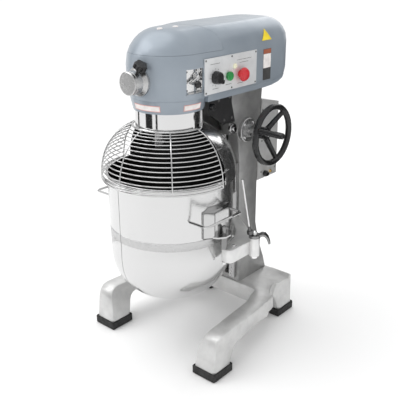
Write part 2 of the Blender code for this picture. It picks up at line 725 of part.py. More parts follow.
def make_drive():
    """The gear train from the motor to the planetary head and to the attachment hub."""
    carrier = turned(
        "planetary_carrier",
        [(0.0130, 0.8200), (0.0960, 0.8200), (0.0980, 0.8180), (0.0980, 0.7780), (0.0950, 0.7750),
         (0.0130, 0.7750)],
        "planetary", "machined_steel", steps=28, hollow=True,
    )
    cut(carrier, rod((0, -PLANET_OFFSET, 0.76), (0, -PLANET_OFFSET, 0.84), 0.0146))
    turned(
        "main_shaft",
        solid_profile((0.0120, 0.9080), (0.0120, 0.8920), (0.0480, 0.8900), (0.0500, 0.8880), (0.0500, 0.8790),
                      (0.0200, 0.8770), (0.0120, 0.8750), (0.0120, 0.7770)),
        "planetary", "machined_steel", steps=20,
    )
    turned("ring_gear", ring_profile(0.0852, 0.0980, 0.8320, 0.8490), "frame", "machined_steel", steps=28,
           hollow=True)
    centre = (0, -PLANET_OFFSET, 0)
    planet = gear("planet_gear", "agitator", "machined_steel", 0.0320, 0.0290, 20, 0.8330, 0.8480, centre)
    cut(planet, rod((0, -PLANET_OFFSET, 0.82), (0, -PLANET_OFFSET, 0.86), 0.0145, segments=20))
    agitator = turned(
        "agitator_shaft",
        solid_profile((0.0120, 0.8560), (0.0142, 0.8540), (0.0142, 0.7100), (0.0120, 0.7060)),
        "agitator", "machined_steel", centre, steps=20,
    )
    pin_z = 0.7300
    combine(agitator, rod((-0.0235, -PLANET_OFFSET, pin_z), (0.0235, -PLANET_OFFSET, pin_z), 0.0040, segments=10))
    turned(
        "drive_shaft",
        solid_profile((0.0100, 0.2200), (0.0100, 0.2100), (0.0415, 0.2095), (0.0415, 0.1905), (0.0100, 0.1900),
                      (0.0100, 0.0150), (0.0200, 0.0140), (0.0285, 0.0040), (0.0285, 0.0)),
        "drive_shaft", "machined_steel", (0, 0.0300, HUB_Z), (0, 1, 0), 20,
    )
    hub_shaft = turned(
        "hub_shaft",
        solid_profile((0.0130, 0.1270), (0.0130, 0.0150), (0.0200, 0.0140), (0.0285, 0.0040), (0.0285, 0.0)),
        "hub_shaft", "machined_steel", (0, -0.0300, HUB_Z), (0, -1, 0), 18,
    )
    cut(hub_shaft, box((-0.0065, -0.1600, HUB_Z - 0.0065), (0.0065, -0.1250, HUB_Z + 0.0065)))
    turned(
        "motor_rotor",
        solid_profile((0.0110, 0.0850), (0.0110, 0.0350), (0.0205, 0.0340), (0.0205, 0.0120), (0.0110, 0.0110),
                      (0.0110, 0.0)),
        "motor_rotor", "machined_steel", (0, 0.2080, MOTOR_Z), (0, 1, 0), 16,
    )
    turned(
        "motor",
        [(0.0115, 0.1650), (0.0500, 0.1650), (0.0600, 0.1550), (0.0650, 0.1450), (0.0650, 0.0200),
         (0.0560, 0.0080), (0.0300, 0.0), (0.0115, 0.0)],
        "frame", "black_paint", (0, 0.2620, MOTOR_Z), (0, 1, 0), 20, hollow=True,
    )


# ---- controls -----------------------------------------------------------------------------
def make_controls():
    inner_x = HEAD_HALF_WIDTH + GAP
    panel = part(
        "control_plate",
        box((inner_x, PANEL_Y[0], PANEL_Z[0]), (PANEL_FACE_X, PANEL_Y[1], PANEL_Z[1])),
        "frame", "panel", smooth=None,
    )
    holes = [rod((0.11, y, z), (0.14, y, z), radius, segments=16) for y, z, radius in PANEL_HOLES]
    cut(panel, merged(*holes))
    face = PANEL_FACE_X + GAP
    knob_profile = solid_profile((0.0150, 0.0200), (0.0175, 0.0180), (0.0195, 0.0060), (0.0195, 0.0),
                                 (0.0070, 0.0), (0.0070, -0.0150))
    knob = turned("speed_selector", knob_profile, "speed_selector", "black_plastic", (face, *SELECTOR),
                  (1, 0, 0), 24)
    pointer_z = SELECTOR[1] - 0.0130
    combine(knob, rod((face + 0.0005, SELECTOR[0] + 0.0230, pointer_z - 0.002),
                      (face + 0.0120, SELECTOR[0] + 0.0230, pointer_z - 0.002), 0.0070, segments=16))
    combine(knob, rod((face + 0.0040, SELECTOR[0] + 0.0100, pointer_z + 0.006),
                      (face + 0.0040, SELECTOR[0] + 0.0230, pointer_z - 0.002), 0.0035, segments=10))
    button_profile = solid_profile((0.0120, 0.0110), (0.0138, 0.0090), (0.0138, 0.0035), (0.0116, 0.0035),
                                   (0.0116, -0.0160))
    turned("start_button", button_profile, "start_button", "green_plastic", (face, *START), (1, 0, 0), 24)
    stop_profile = solid_profile((0.0080, 0.0270), (0.0170, 0.0240), (0.0215, 0.0170), (0.0215, 0.0130),
                                 (0.0150, 0.0090), (0.0116, 0.0080), (0.0116, -0.0160))
    turned("stop_button", stop_profile, "stop_button", "red_plastic", (face, *STOP), (1, 0, 0), 28)
    lamp_profile = solid_profile((0.0035, 0.0070), (0.0080, 0.0035), (0.0085, 0.0), (0.0057, 0.0),
                                 (0.0057, -0.0120))
    turned("indicator_lamp", lamp_profile, "frame", "lamp_lens", (face, *LAMP), (1, 0, 0), 16)


def make_shift():
    y, z = SHIFT_AXIS
    plate = part("shift_plate", box((0.1045, -0.0472, 0.8835), (0.1065, 0.0200, 0.9590)), "frame", "chrome",
                 smooth=None)
    cut(plate, rod((0.09, y, z), (0.12, y, z), 0.0077, segments=16))
    lever = part("shift_lever", rod((0.0880, y, z), (0.1190, y, z), 0.0073, segments=16), "shift_lever",
                 "chrome")
    tip = Vector((0.1155, y - 0.0290, z - 0.0130))
    combine(lever, rod((0.1155, y, z), tip, 0.0045, segments=12))
    combine(lever, rod(tip - Vector((0.004, 0, 0)), tip + Vector((0.0160, 0, 0)), 0.0042, segments=12))
    ball = []
    for step in range(9):
        angle = math.pi * step / 8
        ball.append((0.0110 * math.sin(angle) if 0 < step < 8 else 0.0, 0.0110 * math.cos(angle)))
    turned("shift_knob", ball, "shift_lever", "black_plastic", tip + Vector((0.0160 + GAP + 0.0110, 0, 0)),
           (1, 0, 0), 16)


# ---- guard --------------------------------------------------------------------------------
def guard_profile(share, out=0.0):
    """Radius and height of the guard's dome, share 0 at the collar to 1 at the bottom ring.

    out is a distance off the dome, square to it.
    """
    angle = math.radians(12 + 78 * share)
    first = math.sin(math.radians(12))
    wide = (GUARD_BOTTOM_RADIUS - GUARD_TOP_RADIUS) / (1 - first)
    tall = (GUARD_TOP_Z - GUARD_BOTTOM_Z) / math.cos(math.radians(12))
    square = Vector((tall * math.sin(angle), wide * math.cos(angle))).normalized() * out
    radius = GUARD_TOP_RADIUS + wide * (math.sin(angle) - first)
    height = GUARD_BOTTOM_Z + tall * math.cos(angle)
    return radius + square.x, height + square.y


def make_guard():
    turned("guard_collar", ring_profile(COLLAR_RADIUS - 0.002, COLLAR_RADIUS, GUARD_TOP_Z, COLLAR_TOP_Z), "frame",
           "polished_steel", steps=32, hollow=True)
    profile = [guard_profile(step / 10) for step in range(11)]
    profile.append((GUARD_BOTTOM_RADIUS, GUARD_BOTTOM_Z - 0.008))
    mesh = bpy.data.meshes.new("guard_shell")
    start = math.radians(SHELL_START_DEG)
    mesh.from_pydata(
        [(r * math.cos(start), r * math.sin(start), z) for r, z in profile],
        [(i, i + 1) for i in range(len(profile) - 1)], [],
    )
    shell = part("guard_shell", mesh, "frame", "polished_steel", smooth=None)
    screw = shell.modifiers.new("turn", "SCREW")
    screw.angle = math.radians(180 - 2 * SHELL_START_DEG)
    screw.steps = 20
    screw.render_steps = 20
    screw.use_smooth_shade = True
    solid = shell.modifiers.new("sheet", "SOLIDIFY")
    solid.thickness = 0.002
    solid.offset = -1.0
    for angle in (24, 156):
        strap = box((COLLAR_RADIUS + GAP, -0.0060, GUARD_TOP_Z - 0.0060), (COLLAR_RADIUS + 0.0040, 0.0060, 0.8255))
        bmesh.ops.transform(strap, matrix=Matrix.Rotation(math.radians(angle), 4, "Z"), verts=strap.verts)
        combine(shell, strap)
    make_cage()
    turned(
        "guard_switch",
        solid_profile((0.0080, 0.0140), (0.0100, 0.0120), (0.0100, 0.0)),
        "frame", "black_plastic", (COLUMN_HALF_WIDTH + 0.0023 + GAP, 0.0930, 0.8230), (1, 0, 0), 16,
    )


def cage_arc(radius, z, wire, steps=16):
    return tube([(point.x, point.y, z) for point in arc(radius, -180, 0, steps)], wire, 0)


def make_cage():
    wires = []
    for wire in range(CAGE_WIRES):
        radius, z = guard_profile((wire + 0.6) / CAGE_WIRES, CAGE_OFFSET)
        wires.append(cage_arc(radius, z, CAGE_WIRE_RADIUS))
    cage = part("guard_cage", wires[0], "guard_cage", "polished_steel", smooth=40)
    ribs = []
    for rib in range(5):
        angle = math.radians(-180 + 45 * rib)
        points = []
        for step in range(9):
            radius, z = guard_profile(0.04 + 0.96 * step / 8, CAGE_OFFSET + 0.0012)
            points.append((radius * math.cos(angle), radius * math.sin(angle), z))
        ribs.append(tube(points, 0.0022, 0))
    radius, z = guard_profile(1.0)
    for drop in (0.0, 0.0085):
        ribs.append(cage_arc(radius + CAGE_OFFSET + 0.001, z + 0.001 - drop, 0.0030, 24))
    radius, z = guard_profile(0.0)
    ribs.append(cage_arc(radius + CAGE_OFFSET + 0.0005, z + 0.0040, 0.0028, 18))
    for side in (-180, 0):
        angle = math.radians(side)
        ribs.append(rod(
            ((GUARD_BOTTOM_RADIUS + CAGE_OFFSET + 0.001) * math.cos(angle), 0.0, GUARD_BOTTOM_Z + 0.003),
            ((GUARD_BOTTOM_RADIUS + CAGE_OFFSET + 0.001) * math.cos(angle), 0.0, GUARD_BOTTOM_Z - 0.0095),
            0.0030, segments=8,
        ))
    combine(cage, merged(*wires[1:], *ribs), use_self=True)


# ---- bowl ---------------------------------------------------------------------------------
def bowl_outer():
    points = [
        (BOWL_RADIUS, BOWL_RIM_Z - 0.010),
        (BOWL_RADIUS, BOWL_SEAM_Z),
        (BOWL_RADIUS - 0.0010, BOWL_SEAM_Z - 0.0010),
        (BOWL_RADIUS - 0.0010, BOWL_BEND_Z),
    ]
    drop = BOWL_BEND_Z - BOWL_BOTTOM_Z
    power = 2 / BOWL_FULLNESS
    for step in range(1, 9):
        angle = math.radians(90 * step / 9)
        radius = (BOWL_RADIUS - 0.0010) * math.cos(angle) ** power
        points.append((radius, BOWL_BEND_Z - drop * math.sin(angle) ** power))
    points.append((0.0, BOWL_BOTTOM_Z))
    return points


def make_bowl():
    outer = bowl_outer()
    rim = [
        (BOWL_RADIUS - BOWL_WALL, BOWL_RIM_Z - 0.001),
        (BOWL_RADIUS + 0.001, BOWL_RIM_Z),
        (BOWL_RADIUS + 0.0050, BOWL_RIM_Z - 0.002),
        (BOWL_RADIUS + 0.0055, BOWL_RIM_Z - 0.005),
        (BOWL_RADIUS + 0.0030, BOWL_RIM_Z - 0.0085),
    ]
    inside = []
    for radius, z in outer[1:]:
        share = 0.0 if z > BOWL_BEND_Z else (BOWL_BEND_Z - z) / (BOWL_BEND_Z - BOWL_BOTTOM_Z)
        inside.append((max(radius - BOWL_WALL * (1 - share), 0.0) if radius else 0.0, z + BOWL_WALL * share))
    profile = rim + outer + inside[::-1]
    turned("bowl", profile, "bowl_lift", "polished_steel", steps=38, hollow=True)
    for side, word in ((1, "right"), (-1, "left")):
        make_ear(side, word)


def make_ear(side, word):
    """The bracket welded to the bowl, with its shelf for the locating pin, and the handle beside it."""
    def mirrored(points):
        return [(side * x, y) for x, y in points]

    shell = [(0.1800, -0.0640), (0.1925, -0.0640), (0.2140, -0.0340), (0.2140, 0.0340), (0.1925, 0.0640),
             (0.1800, 0.0640)]
    shelf = [(0.1900, -0.0500), (0.2250, -0.0330), (0.2400, -0.0120), (0.2400, 0.0120), (0.2250, 0.0330),
             (0.1900, 0.0500)]
    pocket = [(0.1800, -0.0600), (0.1905, -0.0600), (0.2113, -0.0325), (0.2113, 0.0325), (0.1905, 0.0600),
              (0.1800, 0.0600)]
    ear = part(f"bowl_ear_{word}", prism(mirrored(shell), 0.4560, 0.5400), "bowl_lift", "polished_steel",
               smooth=None)
    combine(ear, prism(mirrored(shelf), 0.4560, 0.4610))
    cut(ear, prism(mirrored(pocket), 0.4400, 0.5372))
    cut(ear, rod((0, 0, 0.40), (0, 0, 0.60), BOWL_RADIUS + GAP, segments=96))
    cut(ear, rod((side * BOWL_PIN[0], 0, 0.44), (side * BOWL_PIN[0], 0, 0.50), 0.0075, segments=16))
    corners = [
        (side * 0.1745, HANDLE_FRONT_Y, HANDLE_Z),
        (side * 0.2430, HANDLE_FRONT_Y, HANDLE_Z),
        (side * 0.2430, HANDLE_REAR_Y, HANDLE_Z),
        (side * 0.2006, HANDLE_REAR_Y, HANDLE_Z),
    ]
    part(f"bowl_handle_{word}", tube(bent_path(corners, 0.012, 4), 0.0040), "bowl_lift", "polished_steel",
         smooth=60)


# ---- bowl lift ----------------------------------------------------------------------------
def yoke_outline():
    inner = arc(YOKE_INNER_RADIUS, 7, 173, 22)
    right = [
        (0.2115, -0.0040, 0.010),
        (ARM_OUTER_X, -0.0040, 0.018),
        (ARM_OUTER_X, 0.1250, 0.030),
        (0.1050, 0.2328, 0.010),
    ]
    left = [(-x, y, radius) for x, y, radius in reversed(right)]
    outer = round_corners([(0.2099, 0.0258, 0.0), *right, *left, (-0.2099, 0.0258, 0.0)], steps=5)
    return outer[1:-1] + inner[::-1]


def make_yoke():
    yoke = part("bowl_yoke", prism(yoke_outline(), YOKE_BOTTOM_Z, YOKE_TOP_Z), "bowl_lift", "yoke_paint",
                smooth=35)
    bevel(yoke, 0.0025, 2, 50)
    combine(yoke, box((-0.0880, YOKE_INNER_RADIUS + 0.003, 0.3350), (0.0880, 0.2328, 0.5000)))
    combine(yoke, box((-0.0360, 0.2200, YOKE_BOTTOM_Z), (0.0360, 0.3040, YOKE_TOP_Z)))
    cut(yoke, rod((0, SCREW_Y, 0.34), (0, SCREW_Y, 0.44), 0.0203))
    turned(
        "lift_nut",
        [(SCREW_RADIUS + 0.0004, YOKE_TOP_Z + 0.0060), (0.0270, YOKE_TOP_Z + 0.0060),
         (0.0270, YOKE_TOP_Z + GAP), (0.0200, YOKE_TOP_Z + GAP), (0.0200, YOKE_BOTTOM_Z),
         (SCREW_RADIUS + 0.0004, YOKE_BOTTOM_Z)],
        "bowl_lift", "brass", (0, SCREW_Y, 0), steps=24, hollow=True,
    )
    x, y = CLAMP_AXIS
    for side, word in ((1, "right"), (-1, "left")):
        combine(yoke, rod((side * x, y, 0.3620), (side * x, y, LUG_TOP_Z), 0.0170, segments=20))
        cut(yoke, rod((side * x, y, 0.3500), (side * x, y, 0.4400), 0.0066, segments=16))
        turned(
            f"bowl_pin_{word}",
            solid_profile((0.0040, 0.4900), (0.0068, 0.4860), (0.0068, 0.4557), (0.0110, 0.4550),
                          (0.0110, YOKE_TOP_Z + GAP)),
            "bowl_lift", "chrome", (side * BOWL_PIN[0], BOWL_PIN[1], 0), steps=16,
        )
        turned(
            f"clamp_pivot_{word}",
            solid_profile((0.0030, 0.4480), (0.0075, 0.4440), (0.0095, 0.4370), (0.0062, 0.4365),
                          (0.0062, 0.3615), (0.0100, 0.3610), (0.0100, 0.3530)),
            "bowl_lift", "chrome", (side * x, y, 0), steps=16,
        )


def make_clamps():
    """The wing levers that hold the bowl down, and the long bar that turns the right-hand one."""
    x, y = CLAMP_AXIS
    low = LUG_TOP_Z + 0.0005
    # along the wing from the hub: distance out, height of its top face above the hub's foot, half-width
    stations = [(0.0120, 0.0095, 0.0100), (0.0240, 0.0150, 0.0120), (0.0350, 0.0130, 0.0125),
                (0.0440, 0.0030, 0.0120), (0.0490, -0.0100, 0.0100), (0.0510, -0.0190, 0.0075)]
    thick = 0.0070
    heading = math.radians(35)
    for side, word in ((1, "right"), (-1, "left")):
        hub = turned(
            f"clamp_lever_{word}", ring_profile(0.0066, 0.0190, low, low + 0.0090), f"clamp_{word}", "chrome",
            (side * x, y, 0), steps=20, hollow=True,
        )
        out = Vector((side * math.cos(heading), math.sin(heading), 0))
        across = Vector((-side * math.sin(heading), math.cos(heading), 0))
        rings = []
        for i, (reach, top, half) in enumerate(stations):
            before = stations[max(i - 1, 0)]
            after = stations[min(i + 1, len(stations) - 1)]
            slope = Vector((after[0] - before[0], after[1] - before[1])).normalized()
            upper = Vector((side * x, y, low + top)) + out * reach
            under = upper + out * (slope.y * thick) - Vector((0, 0, slope.x * thick))
            rings.append([upper - across * half, upper + across * half, under + across * half,
                          under - across * half])
        combine(hub, loft(rings))
    bar = rod((x - 0.0081, y - 0.0120, low + 0.0100), (x - 0.0250, y - 0.0370, 0.6230), 0.0035, segments=12)
    part("clamp_bar", bar, "clamp_right", "chrome")


def make_lift_drive():
    turned(
        "lift_screw",
        solid_profile((0.0110, 0.6975), (0.0180, 0.6910), (0.0180, 0.6850), (SCREW_RADIUS, 0.6845),
                      (SCREW_RADIUS, 0.1900), (0.0090, 0.1895), (0.0090, 0.1720)),
        "lift_screw", "machined_steel", (0, SCREW_Y, 0), steps=20,
    )
    turned("screw_bearing", ring_profile(0.0093, 0.0240, CHANNEL_BOTTOM_Z + GAP, 0.1860), "frame",
           "machined_steel", (0, SCREW_Y, 0), steps=20, hollow=True)
    axle = (0, SCREW_Y, WHEEL_SHAFT_Z)
    turned(
        "wheel_shaft",
        solid_profile((0.0090, 0.1700), (0.0090, 0.0230), (0.0180, 0.0225), (0.0180, 0.0170), (0.0110, 0.0100)),
        "handwheel", "machined_steel", axle, (1, 0, 0), 18,
    )
    turned(
        "bearing_flange",
        [(0.0094, 0.0300), (0.0200, 0.0300), (0.0230, 0.0130), (0.0390, 0.0120), (0.0410, 0.0100), (0.0410, 0.0),
         (0.0094, 0.0)],
        "frame", "machined_steel", (COLUMN_HALF_WIDTH + GAP, SCREW_Y, WHEEL_SHAFT_Z), (1, 0, 0), 28, hollow=True,
    )


def wheel_point(angle, radius, x):
    return Vector((x, SCREW_Y + radius * math.cos(angle), WHEEL_SHAFT_Z + radius * math.sin(angle)))


def make_handwheel():
    axle = Vector((0, SCREW_Y, WHEEL_SHAFT_Z))
    rim = []
    for step in range(10):
        angle = math.pi / 2 - math.tau * step / 10
        rim.append((WHEEL_RADIUS + WHEEL_RIM_RADIUS * math.cos(angle), 0.0105 * math.sin(angle)))
    wheel = turned("handwheel", rim, "handwheel", "black_plastic", (WHEEL_X, SCREW_Y, WHEEL_SHAFT_Z),
                   (1, 0, 0), 36, hollow=True)
    hub = rod(axle + Vector((HUB_INNER_X, 0, 0)), axle + Vector((HUB_INNER_X + 0.030, 0, 0)), 0.0200)
    spokes = []
    for degrees in SPOKE_ANGLES:
        angle = math.radians(degrees)
        start = wheel_point(angle, 0.0080, HUB_INNER_X + 0.017)
        spokes.append(rod(start, wheel_point(angle, WHEEL_RADIUS, WHEEL_X - 0.001), 0.0100, 0.0080, 8))
    combine(wheel, merged(hub, *spokes), use_self=True)
    bore = rod(axle + Vector((HUB_INNER_X - 0.01, 0, 0)), axle + Vector((0.1725, 0, 0)), 0.0094)
    cut(wheel, bore)
    turned(
        "crank_grip",
        solid_profile((0.0060, 0.1030), (0.0095, 0.0990), (0.0105, 0.0900), (0.0080, 0.0200), (0.0085, 0.0120)),
        "crank_grip", "black_plastic", (WHEEL_X, *GRIP_AXIS), (1, 0, 0), 16,
    )


clear_scene()
parts = new_collection(PART_COLLECTION)
cutters = new_collection("cutters")
cutters.hide_render = True
axes = {}
for body, (parent, point) in BODIES.items():
    add_body(body, parent, point)
make_base()
make_column()
make_rear_cover()
make_head()
make_hub()
make_drive()
make_controls()
make_shift()
make_guard()
make_bowl()
make_yoke()
make_clamps()
make_lift_drive()
make_handwheel()
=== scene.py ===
"""Looks of a floor-standing planetary mixer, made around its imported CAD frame.

Lengths are in metres. LAYOUT_SHIFT takes a point laid out from the bowl's axis into the frame.
"""

import json
import math

import bmesh
import bpy
from mathutils import Matrix, Vector


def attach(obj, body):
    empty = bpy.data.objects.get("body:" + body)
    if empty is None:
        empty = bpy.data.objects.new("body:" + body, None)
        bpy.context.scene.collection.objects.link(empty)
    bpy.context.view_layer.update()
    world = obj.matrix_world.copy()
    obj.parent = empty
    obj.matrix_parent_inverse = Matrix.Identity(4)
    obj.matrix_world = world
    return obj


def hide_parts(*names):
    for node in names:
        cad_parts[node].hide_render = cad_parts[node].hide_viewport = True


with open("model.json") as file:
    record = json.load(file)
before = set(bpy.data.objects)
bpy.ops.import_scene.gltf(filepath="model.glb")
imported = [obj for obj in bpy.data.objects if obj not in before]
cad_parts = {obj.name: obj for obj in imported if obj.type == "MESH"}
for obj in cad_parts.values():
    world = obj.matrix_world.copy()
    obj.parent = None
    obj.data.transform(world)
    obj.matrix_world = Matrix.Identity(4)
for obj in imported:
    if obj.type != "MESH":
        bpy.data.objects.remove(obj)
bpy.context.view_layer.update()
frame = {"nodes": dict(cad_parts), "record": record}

LAYOUT_SHIFT = Vector((0.0, -0.13365, 0.0))

# ---- camera and light ---------------------------------------------------------------------
CAMERA_PLACE = Vector((1.35576, -1.41279, 1.28378)) + LAYOUT_SHIFT
CAMERA_AZIMUTH = 41.056
CAMERA_PITCH = 21.409
CAMERA_ROLL = -0.311
CAMERA_VIEW = 34.41
# bearing round from the camera (degrees), distance, width, lowest and highest edge
FLAGS = (
    (-63.0, 1.20, 0.50, 0.16, 1.60),
    (-110.0, 1.20, 0.20, 0.16, 1.60),
    (-38.0, 1.20, 0.12, 0.16, 1.60),
    (106.0, 1.25, 0.70, 0.16, 1.60),
    (122.0, 0.80, 0.90, 0.02, 0.95),
)
# name, place, side, power
SOFT_BOXES = (
    ("key_light", (-1.8, -2.0, 2.8), 2.0, 22.0),
    ("back_light", (-0.6, 2.6, 2.2), 2.0, 12.0),
)
SUN_STRENGTH = 1.20
SUN_SPREAD_DEG = 70.0
SUN_FROM = (-0.35, -0.25, 1.0)
SKY_STRENGTH = 0.78

# ---- sizes repeated from the frame --------------------------------------------------------
BOWL_RADIUS = 0.200
BOWL_RIM_Z = 0.6275
BOWL_SEAM_Z = 0.4525
BOWL_BAND_Z = 0.4250
BOWL_BEND_Z = 0.375
BOWL_BOTTOM_Z = 0.194
BOWL_FULLNESS = 2.35
BOWL_WALL = 0.002
GUARD_TOP_Z = 0.7710
GUARD_BOTTOM_Z = 0.620
GUARD_TOP_RADIUS = 0.1075
GUARD_BOTTOM_RADIUS = 0.2105
CAGE_OFFSET = 0.0052
CAGE_WIRES = 15
SHELL_START_DEG = 6.0
COLLAR_RADIUS = 0.105
COLLAR_TOP_Z = 0.8257
HEAD_HALF_WIDTH = 0.126
COLUMN_HALF_WIDTH = 0.090
PANEL_FACE_X = 0.1285
PANEL_Y = (0.0205, 0.2750)
PANEL_Z = (0.8735, 0.9800)
SELECTOR = (0.0700, 0.9210)
WHEEL_CENTRE = (0.277, 0.712)
SHIFT_AXIS = (0.0020, 0.9300)
SHIFT_WINDOW_Y = (-0.0460, 0.0180)
SHIFT_WINDOW_Z = (0.8840, 0.9570)
WELD_DEG = -99.0
EAR_Z = (0.4565, 0.5398)
TOP_PLUGS = ((0.011, -0.042, 1.0642), (0.024, 0.011, 1.0657))
GUARD_START_DEG = 12.0
# height and radius of the nose ring's conical side, from its foot to its top
NOSE_RING = ((0.8262, 0.1095), (0.8430, 0.1130), (0.8620, 0.1170))
# the head's rounded shoulder: where it starts, how tall it is, how far in it ends
SHOULDER_Z = 0.990
SHOULDER_TALL = 0.076
SHOULDER_IN = 0.064
SHIFT_BACK_X = 0.1066
BOX_FACE_X = 0.0881
WHEEL_NUT_X = 0.1783
LEVER_FOOT = Vector((0.2519, 0.0960, 0.4345))
LEVER_TOP = Vector((0.2350, 0.0710, 0.6230))
EAR_OUTLINE = ((0.1935, -0.0640), (0.2140, -0.0340), (0.2140, 0.0340), (0.1935, 0.0640))

# ---- places of the small fittings ---------------------------------------------------------
WELD_BOTTOM_Z = 0.270
WELD_HALF_DEG = 0.22
STRAP_DEG = (24, 156)
RING_LABELS_DEG = ((-108.5, -59.0), (-23.5, 10.5))
RING_LABEL_Z = (0.8345, 0.8530)
# middle y, lowest z, height and half the width of the triangular label
TRIANGLE_LABEL = (0.331, 1.0035, 0.0345, 0.0255)
SIDE_LABEL_Y = (0.3140, 0.3570)
SIDE_LABEL_Z = (0.8755, 0.9755)
# y from, y to and z of each thin rule on the control plate
PANEL_RULES = (
    (0.046, 0.090, 0.9610), (0.172, 0.246, 0.9590), (0.186, 0.230, 0.9500),
    (0.056, 0.084, 0.8870), (0.118, 0.146, 0.8910), (0.176, 0.204, 0.8870),
)
PANEL_SCREW_INSET = 0.0058
# y and z of each screw from the shift axis
SHIFT_SCREWS = ((-0.036, 0.018), (0.006, 0.019), (-0.036, -0.036), (0.006, -0.036))
FLANGE_BOLT_CIRCLE = 0.031
BOSS_CENTRE = (0.2000, 0.7310)
NECK_SCREWS = ((0.130, 0.836), (0.184, 0.838), (0.196, 0.770), (0.158, 0.768))
BOX_SCREWS = [(y, z) for z in (0.535, 0.650, 0.760) for y in (0.374, 0.458)]
EARTH_STUD = (0.431, 0.525)
ARM_BOLT = (0.235, 0.035, 0.4121)
PIN_NUT_X = 0.2225
PIN_NUT_Z = (0.3580, 0.3669)
HOOK_SHARES = (0.50, 0.83)
HOOK_REACH_DEG = 12.0


# ---- materials ----------------------------------------------------------------------------
class Recipe:
    """A Principled material built node by node, with textures in object space."""

    def __init__(self, name, colour, metallic=0.0, roughness=0.4):
        self.material = bpy.data.materials.new(name)
        self.material.use_nodes = True
        self.tree = self.material.node_tree
        self.shader = self.tree.nodes["Principled BSDF"]
        self.set("Base Color", (*colour, 1.0))
        self.set("Metallic", metallic)
        self.set("Roughness", roughness)
        self.space = self.tree.nodes.new("ShaderNodeTexCoord").outputs["Object"]
        self.height = None

    def set(self, socket, value):
        self.shader.inputs[socket].default_value = value

    def node(self, kind, **settings):
        node = self.tree.nodes.new(kind)
        for key, value in settings.items():
            if key in node.inputs:
                node.inputs[key].default_value = value
            else:
                setattr(node, key, value)
        return node

    def link(self, output, socket):
        self.tree.links.new(output, socket)

    def stretched(self, scale):
        mapping = self.node("ShaderNodeMapping")
        mapping.inputs["Scale"].default_value = scale
        self.link(self.space, mapping.inputs["Vector"])
        return mapping.outputs["Vector"]

    def noise(self, scale, detail=2.0, stretch=None):
        noise = self.node("ShaderNodeTexNoise", Scale=scale, Detail=detail)
        self.link(self.stretched(stretch) if stretch else self.space, noise.inputs["Vector"])
        return noise.outputs["Fac"]

    def ramp(self, value, low, high, start=0.35, end=0.65):
        spread = self.node("ShaderNodeMapRange")
        spread.inputs["From Min"].default_value = start
        spread.inputs["From Max"].default_value = end
        spread.inputs["To Min"].default_value = low
        spread.inputs["To Max"].default_value = high
        self.link(value, spread.inputs["Value"])
        return spread.outputs["Result"]

    def colours(self, value, dark, light, start=0.35, end=0.65):
        ramp = self.node("ShaderNodeValToRGB")
        ramp.color_ramp.elements[0].position = start
        ramp.color_ramp.elements[0].color = (*dark, 1.0)
        ramp.color_ramp.elements[1].position = end
        ramp.color_ramp.elements[1].color = (*light, 1.0)
        self.link(value, ramp.inputs["Fac"])
        self.link(ramp.outputs["Color"], self.shader.inputs["Base Color"])

    def rough(self, value, low, high, start=0.35, end=0.65):
        self.link(self.ramp(value, low, high, start, end), self.shader.inputs["Roughness"])

    def bump(self, value, depth, strength=1.0):
        bump = self.node("ShaderNodeBump", Strength=strength, Distance=depth)
        self.link(value, bump.inputs["Height"])
        if self.height:
            self.link(self.height, bump.inputs["Normal"])
        self.height = bump.outputs["Normal"]
        self.link(self.height, self.shader.inputs["Normal"])


def enamel():
    """Smooth blue-grey enamel with a faint orange peel and dust-softened gloss."""
    paint = Recipe("head_enamel", (0.30, 0.35, 0.40), 0.20, 0.34)
    cloud = paint.noise(9.0, 3.0)
    paint.colours(cloud, (0.290, 0.335, 0.385), (0.325, 0.370, 0.420))
    paint.rough(paint.noise(30.0, 4.0), 0.30, 0.40)
    paint.bump(paint.noise(420.0, 1.0), 0.00012, 0.30)
    paint.set("Coat Weight", 0.30)
    paint.set("Coat Roughness", 0.16)
    return paint.material


def silver_paint(name, dark, light, roughness=0.42):
    """Satin silver paint over a ground casting: fine metal flake on gentle unevenness."""
    paint = Recipe(name, dark, 0.60, roughness)
    paint.colours(paint.noise(26.0, 5.0), dark, light)
    paint.rough(paint.noise(70.0, 4.0), roughness * 0.85, roughness * 1.2)
    paint.bump(paint.noise(12.0, 2.0), 0.0010, 0.20)
    paint.bump(paint.noise(520.0, 2.0), 0.00010, 0.35)
    return paint.material


def polished(name, roughness=0.07, wave=0.0010, tone=0.69):
    """Mirror-polished stainless sheet: faint circular polishing marks over a gentle waviness."""
    steel = Recipe(name, (tone, tone, tone), 1.0, roughness)
    steel.rough(steel.noise(70.0, 5.0, (1.0, 1.0, 12.0)), roughness * 0.7, roughness * 1.7)
    steel.bump(steel.noise(5.0, 1.0), wave, 0.18)
    steel.bump(steel.noise(90.0, 3.0, (1.0, 1.0, 9.0)), 0.00005, 0.25)
    return steel.material


def machined(name, colour=(0.52, 0.52, 0.52), roughness=0.30):
    """Bare machined steel with fine tool marks."""
    steel = Recipe(name, colour, 1.0, roughness)
    steel.rough(steel.noise(110.0, 4.0, (1.0, 6.0, 1.0)), roughness * 0.8, roughness * 1.3)
    steel.bump(steel.noise(240.0, 3.0, (1.0, 1.0, 8.0)), 0.00008, 0.35)
    return steel.material


def moulded(name, colour, roughness=0.35, grain=700.0, depth=0.00012):
    """Moulded plastic with a fine grain."""
    plastic = Recipe(name, colour, 0.0, roughness)
    light = tuple(min(1.0, channel * 1.25 + 0.004) for channel in colour)
    plastic.colours(plastic.noise(40.0, 3.0), colour, light)
    plastic.rough(plastic.noise(90.0, 3.0), roughness * 0.85, roughness * 1.2)
    plastic.bump(plastic.noise(grain, 2.0), depth, 0.4)
    return plastic.material


